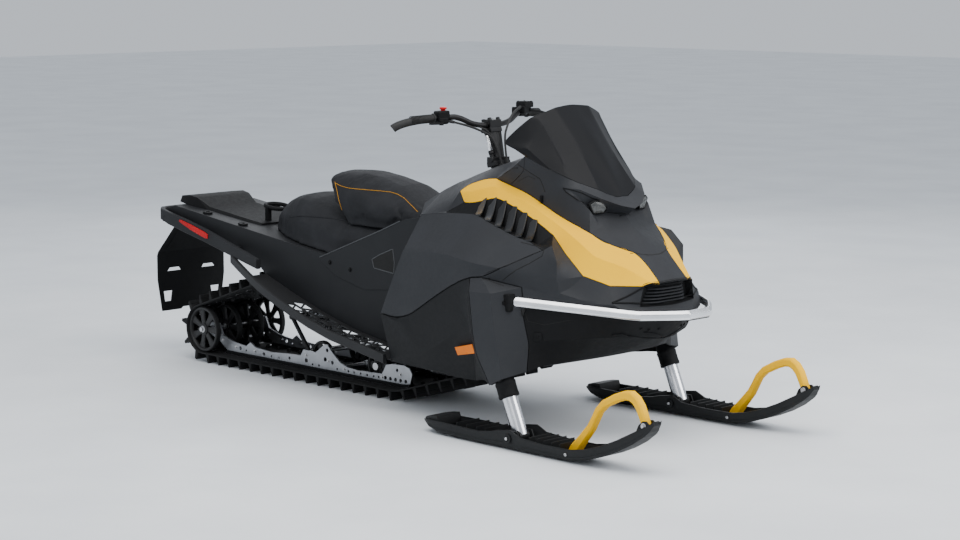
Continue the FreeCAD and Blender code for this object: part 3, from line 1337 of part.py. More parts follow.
HOSE_END = -24
BRAKE_ROUTE = [
    (330, 168, 1162), (350, 112, 1152), (376, 56, 1116), on_steering(90, 30, 20),
    on_steering(HOSE_END, 30, 14),
]
THROTTLE_ROUTE = [
    (306, -192, 1134), (336, -140, 1120), (352, -80, 1098), on_steering(95, 30, -20),
    on_steering(HOSE_END, 30, -14),
]
hoses = [tube_along(route, size("hose_radius"), 0.45) for route in (BRAKE_ROUTE, THROTTLE_ROUTE)]
feature("control_cables", clear_of(Part.makeCompound(hoses), "control_blocks", "steering_post"))

# Ski legs: each slides into its strut tube and turns there

AXLE_X, AXLE_Z_SKI = size("ski_axle_x"), size("ski_axle_height")
FOOT_HALF = size("ski_foot_half")


def ski_leg(side):
    """A round leg whose foot is rounded about the ski's axle."""
    length = strut_length(AXLE_Z_SKI, TUBE_HIGH - 12)
    foot = Vector(*on_strut(AXLE_Z_SKI, side))
    shaft = Part.makeCylinder(size("leg_radius"), length, foot, Vector(*STRUT_UP))
    start = Vector(AXLE_X, side * STANCE - FOOT_HALF, AXLE_Z_SKI)
    foot_shape = Part.makeCylinder(size("leg_foot_radius"), 2 * FOOT_HALF, start, Vector(0, 1, 0))
    bore_radius = size("ski_axle_radius") + size("running_gap")
    bore_shape = Part.makeCylinder(bore_radius, 2 * FOOT_HALF + 20, start - Vector(0, 10, 0), ACROSS)
    return shaft.fuse(foot_shape).cut(bore_shape)


feature("ski_leg_right", ski_leg(-1))
feature("ski_leg_left", ski_leg(1))

# Skis: a trough with a keel, cross ribs, a raised saddle, a tail block and ears for the axle

SKI_SECTIONS = [
    # x, underside, half width at the bottom and the top, top of the side wall
    (size("ski_tail_x"), 38, 36, 40, 46), (505, 24, 50, 56, 50), (560, 12, 58, 66, 52),
    (667, 8, 60, 70, 52), (790, 8, 60, 72, 50), (850, 8, 60, 72, 58), (888, 8, 60, 72, 68),
    (950, 8, 60, 72, 76), (995, 8, 60, 72, 56), (1110, 8, 60, 72, 49), (1242, 11, 60, 72, 50),
    (1300, 21, 58, 70, 60), (1372, 44, 54, 64, 82), (1440, 73, 48, 57, 112),
    (1500, 106, 41, 49, 144), (1550, 142, 31, 37, 172), (size("ski_tip_x"), 178, 18, 22, 192),
]
SKI_WALL = size("ski_wall")
SKI_FLOOR = 6
KEEL = ((600, 6), (640, 0), (1160, 0), (1210, 6))
SKI_RIBS = (640, 690, 740, 785, 825, 1045, 1085, 1125, 1165)
TAIL_BLOCK = [
    # x, half width, top
    (474, 36, 50), (492, 46, 60), (532, 55, 68), (560, 60, 70), (566, 60, 56),
]
EAR = [(896, 12), (914, 66), (954, 66), (978, 12)]


def ski_shape():
    sections = []
    for x, low, foot, half, top in SKI_SECTIONS:
        sections.append([
            (x, half, top), (x, foot, low), (x, -foot, low), (x, -half, top),
            (x, -half + SKI_WALL, top), (x, -foot + SKI_WALL, low + SKI_FLOOR),
            (x, foot - SKI_WALL, low + SKI_FLOOR), (x, half - SKI_WALL, top),
        ])
    trough = loft_of(sections)
    keel = loft_of([[(x, 12, 10), (x, 6, low), (x, -6, low), (x, -12, 10)] for x, low in KEEL])
    block_shape = loft_of([
        [(x, half, top), (x, half - 4, 30), (x, 4 - half, 30), (x, -half, top)] for x, half, top in TAIL_BLOCK
    ])
    fittings = [keel, block_shape]
    for x in SKI_RIBS:
        fittings.append(loft_of([
            [(rib_x, 69, 46), (rib_x, 58, 12), (rib_x, -58, 12), (rib_x, -69, 46)]
            for rib_x in (x, x + size("ski_rib_width"))
        ]))
    near = FOOT_HALF + size("ski_ear_gap")
    far = near + size("ski_ear_thickness")
    for side in (-1, 1):
        fittings.append(loft_of([[(x, side * y, z) for x, z in EAR] for y in (near, far)]))
    pin = Part.makeCylinder(
        size("ski_axle_radius"), 2 * (far + 5), Vector(AXLE_X, -far - 5, AXLE_Z_SKI), Vector(0, 1, 0)
    )
    return trough.multiFuse(fittings + [pin])


LOOP_PATH = [
    # x, z and half the thickness of the loop in the side view
    (1194, 23, 19), (1207, 42, 20), (1246, 88, 16), (1279, 127, 14), (1297, 159, 13), (1315, 193, 13),
    (1343, 221, 14), (1395, 248, 15), (1436, 263, 16), (1462, 265, 17), (1484, 253, 16), (1502, 232, 15),
    (1518, 199, 14), (1530, 170, 13), (1536, 152, 12),
]


def loop_shape(path, half_width):
    """A bevelled loop upright along the ski."""
    sections = []
    bevel = half_width * 0.35
    for i, (x, z, half) in enumerate(path):
        before = path[max(i - 1, 0)]
        after = path[min(i + 1, len(path) - 1)]
        run = math.atan2(after[1] - before[1], after[0] - before[0])
        up_x, up_z = -math.sin(run), math.cos(run)
        section = []
        for y, share in (
            (half_width - bevel, 1), (bevel - half_width, 1), (-half_width, 1 - bevel / half),
            (-half_width, bevel / half - 1), (bevel - half_width, -1), (half_width - bevel, -1),
            (half_width, bevel / half - 1), (half_width, 1 - bevel / half),
        ):
            section.append((x + up_x * half * share, y, z + up_z * half * share))
        sections.append(section)
    return loft_of(sections)


ski = ski_shape()
loop = loop_shape(LOOP_PATH, size("loop_width") / 2)
loop = largest(loop.cut(ski))
for label, side in (("right", -1), ("left", 1)):
    feature("ski_" + label, ski, (0, side * STANCE, 0))
    feature("ski_loop_" + label, loop, (0, side * STANCE, 0))

doc.recompute()
for obj in doc.Objects:
    if "Invalid" in obj.State or "Error" in obj.State:
        raise RuntimeError("%s failed: %s" % (obj.Label, obj.State))
for obj in NODES:
    if obj.Shape.isNull() or not obj.Shape.isValid():
        raise RuntimeError("%s has no valid shape" % obj.Label)

os.makedirs("parts", exist_ok=True)
for obj in NODES:
    obj.Shape.exportStep("parts/%s.step" % obj.Label)
    print(obj.Label, len(obj.Shape.Solids), round(obj.Shape.Volume / 1e3, 1), "cm3")
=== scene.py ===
import math

import bmesh
import bpy
from mathutils import Matrix, Vector
from mathutils.bvhtree import BVHTree


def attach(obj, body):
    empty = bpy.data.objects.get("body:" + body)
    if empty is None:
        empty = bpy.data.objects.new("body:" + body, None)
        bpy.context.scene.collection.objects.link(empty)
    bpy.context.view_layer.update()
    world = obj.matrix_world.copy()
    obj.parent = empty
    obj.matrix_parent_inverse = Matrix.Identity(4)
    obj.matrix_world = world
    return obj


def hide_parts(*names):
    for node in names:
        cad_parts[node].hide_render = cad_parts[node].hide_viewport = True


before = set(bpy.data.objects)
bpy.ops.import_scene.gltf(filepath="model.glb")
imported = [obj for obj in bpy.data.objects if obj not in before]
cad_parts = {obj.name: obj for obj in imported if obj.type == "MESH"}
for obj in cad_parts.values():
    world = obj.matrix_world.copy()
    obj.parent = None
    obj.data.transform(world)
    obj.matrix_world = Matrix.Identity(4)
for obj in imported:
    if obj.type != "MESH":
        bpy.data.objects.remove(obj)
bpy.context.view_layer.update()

# The photograph's camera: place in metres, azimuth and elevation in degrees, lens in mm
CAMERA_AT = Vector((6.277, -6.002, 1.718))
CAMERA_AZIMUTH, CAMERA_ELEVATION = 44.99, 7.91
CAMERA_LENS, SENSOR_WIDTH = 81.8, 36
UP = (0, 0, 1)


# Small helpers


def all_smooth(mesh):
    for polygon in mesh.polygons:
        polygon.use_smooth = True


def link(obj):
    bpy.context.scene.collection.objects.link(obj)
    return obj


def mesh_object(name, verts, faces, smooth):
    mesh = bpy.data.meshes.new(name)
    mesh.from_pydata([tuple(v) for v in verts], [], faces)
    mesh.update()
    if smooth:
        all_smooth(mesh)
    return link(bpy.data.objects.new(name, mesh))


def bm_object(name, bm, smooth=True):
    mesh = bpy.data.meshes.new(name)
    bm.to_mesh(mesh)
    bm.free()
    if smooth:
        all_smooth(mesh)
    return link(bpy.data.objects.new(name, mesh))


def modifier(obj, kind, **settings):
    added = obj.modifiers.new(kind.lower(), kind)
    for key, value in settings.items():
        setattr(added, key, value)
    return added


def sharp_by_angle(obj, degrees):
    """Keeps edges sharper than an angle crisp in smooth shading."""
    limit = math.cos(math.radians(degrees))
    bm = bmesh.new()
    bm.from_mesh(obj.data)
    for edge in bm.edges:
        if len(edge.link_faces) == 2:
            edge.smooth = edge.link_faces[0].normal.dot(edge.link_faces[1].normal) > limit
        else:
            edge.smooth = False
    bm.to_mesh(obj.data)
    bm.free()


def soften(obj, width, segments, degrees):
    """Small rounded edges."""
    modifier(obj, "BEVEL", width=width, segments=segments, limit_method="ANGLE",
             angle_limit=math.radians(degrees), harden_normals=False)
    return obj


def dress(obj, material):
    obj.data.materials.clear()
    obj.data.materials.append(material)


def piece(obj, body, material, replaces=()):
    """Gives a piece its material, body and the node it stands for."""
    dress(obj, material)
    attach(obj, body)
    if replaces:
        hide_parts(*replaces)
    return obj


def mm(point):
    return Vector(point) / 1000


# Materials


class Shader:
    """A material's node graph, built step by step."""

    def __init__(self, name):
        self.material = bpy.data.materials.new(name)
        self.material.use_nodes = True
        self.tree = self.material.node_tree
        self.shader = self.tree.nodes["Principled BSDF"]
        coordinates = self.tree.nodes.new("ShaderNodeTexCoord")
        self.place = coordinates.outputs["Object"]

    def node(self, kind, **settings):
        made = self.tree.nodes.new(kind)
        for key, value in settings.items():
            setattr(made, key, value)
        return made

    def feed(self, source, target):
        self.tree.links.new(source, target)

    def noise(self, scale, detail=4, roughness=0.55, stretch=None):
        texture = self.node("ShaderNodeTexNoise")
        texture.inputs["Scale"].default_value = scale
        texture.inputs["Detail"].default_value = detail
        texture.inputs["Roughness"].default_value = roughness
        place = self.place
        if stretch:
            mapping = self.node("ShaderNodeMapping")
            mapping.inputs["Scale"].default_value = stretch
            self.feed(place, mapping.inputs["Vector"])
            place = mapping.outputs["Vector"]
        self.feed(place, texture.inputs["Vector"])
        return texture.outputs["Fac"]

    def cells(self, scale):
        texture = self.node("ShaderNodeTexVoronoi", feature="F1")
        texture.inputs["Scale"].default_value = scale
        self.feed(self.place, texture.inputs["Vector"])
        return texture.outputs["Distance"]

    def spread(self, value, low, high):
        """A noise remapped to low..high."""
        remap = self.node("ShaderNodeMapRange")
        for name, number in (("From Min", 0.3), ("From Max", 0.7), ("To Min", low), ("To Max", high)):
            remap.inputs[name].default_value = number
        self.feed(value, remap.inputs["Value"])
        return remap.outputs["Result"]

    def colours(self, factor, first, second):
        """A colour that runs from the first to the second with a noise."""
        ramp = self.node("ShaderNodeValToRGB")
        for element, position, colour in zip(ramp.color_ramp.elements, (0.35, 0.65), (first, second)):
            element.position = position
            element.color = (*colour, 1)
        self.feed(factor, ramp.inputs["Fac"])
        return ramp.outputs["Color"]

    def bump(self, height, strength, distance, under=None):
        node = self.node("ShaderNodeBump")
        node.inputs["Strength"].default_value = strength
        node.inputs["Distance"].default_value = distance
        self.feed(height, node.inputs["Height"])
        if under is not None:
            self.feed(under, node.inputs["Normal"])
        return node.outputs["Normal"]

    def finish(self, colour, rough, normal=None, metal=0.0, shine=0.5):
        for socket, value in (("Base Color", colour), ("Roughness", rough), ("Normal", normal)):
            if value is not None:
                self.feed(value, self.shader.inputs[socket])
        self.shader.inputs["Metallic"].default_value = metal
        self.shader.inputs["Specular IOR Level"].default_value = shine
        return self.material

    def mottled(self, patches, colour, vary):
        """A colour that varies by a share to both sides with a noise."""
        return self.colours(patches, shade(colour, 1 - vary), shade(colour, 1 + vary))


def shade(colour, factor):
    return tuple(min(1.0, channel * factor) for channel in colour)


def moulded(name, colour, rough, grain=900, depth=0.00012, vary=0.12, strength=0.5, shine=0.5):
    """Moulded plastic: a fine pebbled grain, faint patches and uneven gloss."""
    made = Shader(name)
    colour_out = made.mottled(made.noise(7, detail=5), colour, vary)
    rough_out = made.spread(made.noise(60, detail=6, roughness=0.7), *rough)
    patches = made.bump(made.noise(24, detail=2), 0.12, 0.0006)
    normal = made.bump(made.cells(grain), strength, depth, patches)
    return made.finish(colour_out, rough_out, normal, shine=shine)


def painted(name, colour, rough, metal=0.0, shine=0.5):
    """Powder-coated or painted metal: orange-peel skin with faint scuffs."""
    made = Shader(name)
    colour_out = made.mottled(made.noise(9, detail=6), colour, 0.06)
    rough_out = made.spread(made.noise(140, detail=8, roughness=0.75, stretch=(1, 1, 6)), *rough)
    normal = made.bump(made.noise(220, detail=2), 0.25, 0.00015)
    return made.finish(colour_out, rough_out, normal, metal, shine)


def brushed(name, colour, rough, stretch):
    """Extruded or brushed aluminium with drawn lines."""
    made = Shader(name)
    lines = made.noise(60, detail=6, roughness=0.7, stretch=stretch)
    colour_out = made.mottled(made.noise(12, detail=5), colour, 0.08)
    normal = made.bump(lines, 0.08, 0.0002)
    return made.finish(colour_out, made.spread(lines, *rough), normal, metal=1.0)


def rubbery(name, colour, grain=350, depth=0.0003, shine=0.5):
    """Rubber with a mottled, slightly dusty surface."""
    made = Shader(name)
    colour_out = made.mottled(made.noise(18, detail=7, roughness=0.65), colour, 0.2)
    rough_out = made.spread(made.noise(90, detail=8, roughness=0.8), 0.6, 0.8)
    normal = made.bump(made.noise(grain, detail=3), 0.4, depth, made.bump(made.noise(40), 0.15, 0.001))
    return made.finish(colour_out, rough_out, normal, shine=shine)


def vinyl(name, colour, rough, shine):
    """Seat vinyl: fine leather grain with soft wrinkles."""
    made = Shader(name)
    colour_out = made.colours(made.noise(11, detail=6), shade(colour, 0.85), shade(colour, 1.18))
    rough_out = made.spread(made.noise(70, detail=7, roughness=0.7), *rough)
    wrinkles = made.bump(made.noise(26, detail=4, roughness=0.6), 0.18, 0.0015)
    normal = made.bump(made.cells(620), 0.55, 0.00025, wrinkles)
    return made.finish(colour_out, rough_out, normal, shine=shine)


FINE_GRAIN = {"grain": 1100, "depth": 0.00006, "vary": 0.08}
CHARCOAL = moulded("charcoal_panel", (0.0215, 0.0228, 0.0260), (0.50, 0.62), shine=0.24, **FINE_GRAIN)
# The same charcoal plastic as the side panels, made darker as painted shade for the lower panels.
SHADED_LOW_CHARCOAL = moulded("charcoal_low_panel_painted_shade", (0.0085, 0.0090, 0.0100), (0.54, 0.66), shine=0.18, **FINE_GRAIN)
BLACK = moulded("black_moulding", (0.0058, 0.0060, 0.0066), (0.56, 0.7), shine=0.14)
AMBER = moulded("amber_panel", (1.0, 0.525, 0.0), (0.5, 0.6),
                vary=0.03, depth=0.00004, strength=0.3, shine=0.08)
SCREEN = moulded("black_screen", (0.0060, 0.0063, 0.0075), (0.40, 0.48),
                 vary=0.04, depth=0.00002, strength=0.1, shine=0.15)
SHEET = painted("black_sheet", (0.0135, 0.0142, 0.0158), (0.5, 0.62), shine=0.22)
TUBE = painted("black_tube", (0.0090, 0.0090, 0.0100), (0.4, 0.52), shine=0.3)
SILVER = brushed("silver_bar", (0.83, 0.84, 0.86), (0.2, 0.32), (1, 40, 40))
LEG = brushed("silver_leg", (0.72, 0.73, 0.76), (0.18, 0.3), (40, 40, 1))
RAIL = brushed("grey_rail", (0.42, 0.43, 0.45), (0.35, 0.5), (1, 30, 30))
BOARD = painted("board_sheet", (0.0135, 0.0138, 0.0150), (0.48, 0.6), shine=0.3)
STEEL = painted("bright_steel", (0.55, 0.55, 0.56), (0.25, 0.4), metal=1.0)
TRACK = rubbery("track_rubber", (0.0095, 0.0095, 0.0100), shine=0.25)
GRIP = rubbery("grip_rubber", (0.011, 0.011, 0.0115), grain=700, depth=0.0002)
WHEEL = moulded("wheel_plastic", (0.009, 0.009, 0.0095), (0.45, 0.62))
SEAT = vinyl("seat_vinyl", (0.0185, 0.0192, 0.0215), (0.66, 0.8), shine=0.16)
PIPING = moulded("amber_piping", (0.50, 0.225, 0.006), (0.5, 0.6), shine=0.15)
ORANGE = moulded("orange_marker", (0.74, 0.17, 0.0), (0.26, 0.34), depth=0.00002, strength=0.2, shine=0.2)
RED = moulded("red_reflector", (0.48, 0.004, 0.006), (0.24, 0.32), depth=0.00002, strength=0.2, shine=0.2)
IRON = painted("iron_block", (0.12, 0.12, 0.12), (0.5, 0.7), metal=0.6)
SKI_BLACK = moulded("ski_plastic", (0.0105, 0.0112, 0.0120), (0.5, 0.62), shine=0.24)
# A lighter grey for the seat brackets' beads: painted highlight along their edges.
PAINTED_EDGE_HIGHLIGHT = painted("edge_painted_highlight", (0.045, 0.048, 0.052), (0.4, 0.5))
GLOSS = moulded("glossy_black", (0.0085, 0.0088, 0.0098), (0.3, 0.4), depth=0.00003, shine=0.4)
# Near-black: dark seam lines, and painted shade on the body's inner liner, the bracket window and hollow, and
# the knee plates.
DARK_JOINT_AND_SHADE = moulded("dark_joint_and_painted_shade", (0.004, 0.004, 0.004), (0.8, 0.9))


def lamp_glass():
    made = Shader("lamp_lens")
    ribs = made.node("ShaderNodeTexWave", wave_type="BANDS", bands_direction="Y")
    ribs.inputs["Scale"].default_value = 90
    ribs.inputs["Distortion"].default_value = 0.6
    made.feed(made.place, ribs.inputs["Vector"])
    colour = made.colours(made.noise(45, detail=3), (0.028, 0.030, 0.030), (0.085, 0.088, 0.086))
    normal = made.bump(ribs.outputs["Fac"], 0.35, 0.0008)
    return made.finish(colour, made.spread(made.noise(60), 0.16, 0.26), normal)


LENS = lamp_glass()

# Every other node is replaced by a piece below
dress(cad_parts["engine"], IRON)


def tidy_normals(obj):
    bm = bmesh.new()
    bm.from_mesh(obj.data)
    bmesh.ops.recalc_face_normals(bm, faces=bm.faces)
    bm.to_mesh(obj.data)
    bm.free()
    return obj


def rings_mesh(name, rings, caps=True, smooth=True, looped=False):
    """A skin through rings that have the same number of points, capped or looped back to its start."""
    count = len(rings[0])
    faces = []
    for i in range(len(rings) if looped else len(rings) - 1):
        following = (i + 1) % len(rings)
        for j in range(count):
            k = (j + 1) % count
            faces.append((i * count + j, i * count + k, following * count + k, following * count + j))
    if caps and not looped:
        faces.append(tuple(reversed(range(count))))
        faces.append(tuple(range((len(rings) - 1) * count, len(rings) * count)))
    return tidy_normals(mesh_object(name, [point for ring in rings for point in ring], faces, smooth))


def turned(direction, at):
    """The matrix that turns Z to a direction and moves to a place."""
    return Matrix.Translation(at) @ Vector(direction).to_track_quat("Z", "Y").to_matrix().to_4x4()


def lathe(name, profile, at, direction, steps):
    """A turned piece: (radius, height) pairs in metres along a direction from a place."""
    matrix = turned(direction, at)
    angles = [2 * math.pi * i / steps for i in range(steps)]
    rings = [[matrix @ Vector((r * math.cos(a), r * math.sin(a), h)) for a in angles] for r, h in profile]
    made = rings_mesh(name, rings)
    sharp_by_angle(made, 30)
    return made


def ring_of(name, profile, at, direction, steps):
    """A turned ring: a closed profile of (radius, height) pairs."""
    matrix = turned(direction, at)
    angles = [2 * math.pi * i / steps for i in range(steps)]
    rings = [[matrix @ Vector((r * math.cos(a), r * math.sin(a), h)) for r, h in profile] for a in angles]
    made = rings_mesh(name, rings, looped=True)
    sharp_by_angle(made, 30)
    return made


def barrel(name, end, radius, half, middle, at, steps=24):
    """A round pin across the machine at a place in millimetres, drawn in at its ends."""
    profile = [(end, -half), (radius, -middle), (radius, middle), (end, half)]
    return lathe(name, [(r / 1000, h / 1000) for r, h in profile], mm(at), (0, 1, 0), steps)


def slab(name, outline, low, high, bevel, axis="Y", segments=2):
    """A plate from an outline, (x, z) across Y or (x, y) up Z, in millimetres."""
    rings = [[mm((a, c, b) if axis == "Y" else (a, b, c)) for a, b in outline] for c in (low, high)]
    made = rings_mesh(name, rings, smooth=False)
    if bevel:
        soften(made, bevel, segments, 30)
    return made


def box(name, centre, size, bevel, direction=UP, segments=2):
    """A rounded box in millimetres, its own Z along a direction."""
    long, wide, high = [value / 2000 for value in size]
    corners = [(-1, -1), (1, -1), (1, 1), (-1, 1)]
    upright = tuple(direction) == UP
    matrix = Matrix.Translation(mm(centre)) if upright else turned(direction, mm(centre))
    rings = [[matrix @ Vector((a * long, b * wide, c * high)) for a, b in corners] for c in (-1, 1)]
    made = rings_mesh(name, rings, smooth=False)
    if bevel:
        soften(made, bevel, segments, 30)
    return made


def tube(name, points, radius, order=3, sides=6):
    """A round tube along a smooth curve near some points in millimetres."""
    data = bpy.data.curves.new(name, "CURVE")
    data.dimensions = "3D"
    data.bevel_depth = radius / 1000
    data.bevel_resolution = sides
    data.use_fill_caps = True
    data.resolution_u = 10
    spline = data.splines.new("NURBS")
    spline.points.add(len(points) - 1)
    for place, point in zip(spline.points, points):
        place.co = (*mm(point), 1)
    spline.order_u = order
    spline.use_endpoint_u = True
    curve = link(bpy.data.objects.new(name + "_curve", data))
    bpy.context.view_layer.update()
    mesh = bpy.data.meshes.new_from_object(curve.evaluated_get(bpy.context.evaluated_depsgraph_get()))
    bpy.data.objects.remove(curve)
    mesh.name = name
    made = link(bpy.data.objects.new(name, mesh))
    all_smooth(mesh)
    sharp_by_angle(made, 50)
    return made


def joined(name, parts):
    """One object from several, with their modifiers applied."""
    bpy.context.view_layer.update()
    graph = bpy.context.evaluated_depsgraph_get()
    bm = bmesh.new()
    for part in parts:
        shown = bpy.data.meshes.new_from_object(part.evaluated_get(graph))
        shown.transform(part.matrix_world)
        for polygon in shown.polygons:
            polygon.material_index = 0
        bm.from_mesh(shown)
        bpy.data.meshes.remove(shown)
    for part in parts:
        bpy.data.objects.remove(part)
    mesh = bpy.data.meshes.new(name)
    bm.to_mesh(mesh)
    bm.free()
    return link(bpy.data.objects.new(name, mesh))


def mirror_copy(obj):
    """The same piece on the other side of the machine."""
    bm = bmesh.new()
    bm.from_mesh(obj.data)
    bm.transform(Matrix.Scale(-1, 4, (0, 1, 0)))
    bmesh.ops.reverse_faces(bm, faces=bm.faces)
    made = bm_object(obj.name + "_mirror", bm, smooth=False)
    for kept, polygon in zip(obj.data.polygons, made.data.polygons):
        polygon.use_smooth = kept.use_smooth
    for source in obj.modifiers:
        added = made.modifiers.new(source.name, source.type)
        for key in source.bl_rna.properties.keys():
            if not source.bl_rna.properties[key].is_readonly:
                setattr(added, key, getattr(source, key))
    return made


def paired(name, parts, body, material, replaces=()):
    """One piece made of some parts and their mirror images."""
    return piece(joined(name, parts + [mirror_copy(part) for part in parts]), body, material, replaces)


def bolt(at, direction, radius=7, washer=True):
    """A hexagon bolt head on a washer; its place in millimetres."""
    matrix = turned(direction, mm(at))
    parts = []
    if washer:
        flat = radius * 0.22
        profile = [(radius * 1.45, 0), (radius * 1.55, flat * 0.5), (radius * 1.4, flat)]
        parts.append(lathe("washer", [(r / 1000, h / 1000) for r, h in profile], mm(at), direction, 24))
    rings = []
    for height, share in ((0, 1), (radius * 0.75, 1), (radius * 0.95, 0.82)):
        corners = [(math.cos(math.pi * i / 3), math.sin(math.pi * i / 3)) for i in range(6)]
        rings.append([matrix @ mm((radius * share * a, radius * share * b, height)) for a, b in corners])
    parts.append(rings_mesh("bolt_head", rings, smooth=False))
    return parts


def button(at, direction, radius, height):
    """A round-headed screw with a socket."""
    r, h = radius / 1000, height / 1000
    profile = [(r, 0), (r, h * 0.3), (r * 0.86, h * 0.8), (r * 0.5, h), (r * 0.42, h), (r * 0.36, h * 0.45)]
    return [lathe("screw_head", profile, mm(at), direction, 20)]


# Rays from the camera, to place small fittings on the body

PHOTO_WIDTH, PHOTO_HEIGHT = 960, 540
FOCAL_PIXELS = CAMERA_LENS / SENSOR_WIDTH * PHOTO_WIDTH


def camera_back():
    """The direction from what the camera looks at back to the camera."""
    azimuth, elevation = math.radians(CAMERA_AZIMUTH), math.radians(CAMERA_ELEVATION)
    flat = math.cos(elevation)
    return Vector((math.sin(azimuth) * flat, -math.cos(azimuth) * flat, math.sin(elevation)))


def camera_ray(px, py):
    azimuth, back = math.radians(CAMERA_AZIMUTH), camera_back()
    right = Vector((math.cos(azimuth), math.sin(azimuth), 0))
    up = back.cross(right)
    across, rise = (px - PHOTO_WIDTH / 2) / FOCAL_PIXELS, (PHOTO_HEIGHT / 2 - py) / FOCAL_PIXELS
    return (right * across + up * rise - back).normalized()


def seen_on(tree, px, py):
    """Where the photograph's ray through a pixel meets a surface, and its normal there."""
    ray = camera_ray(px, py)
    found, normal, _, _ = tree.ray_cast(CAMERA_AT, ray)
    if found is None:
        return None
    return found, -normal if normal.dot(ray) > 0 else normal


def seen_line(tree, pixels, step):
    """Places and normals on a surface along a line of pixels, about a step apart."""
    spots = []
    for (x, y), (end_x, end_y) in zip(pixels, pixels[1:]):
        count = max(1, int(math.dist((x, y), (end_x, end_y)) / step))
        spots += [(x + (end_x - x) * i / count, y + (end_y - y) * i / count) for i in range(count)]
    met = [seen_on(tree, px, py) for px, py in spots + [pixels[-1]]]
    return [spot for spot in met if spot is not None]


def mesh_tree(mesh):
    bm = bmesh.new()
    bm.from_mesh(mesh)
    tree = BVHTree.FromBMesh(bm)
    bm.free()
    return tree


# Body shell

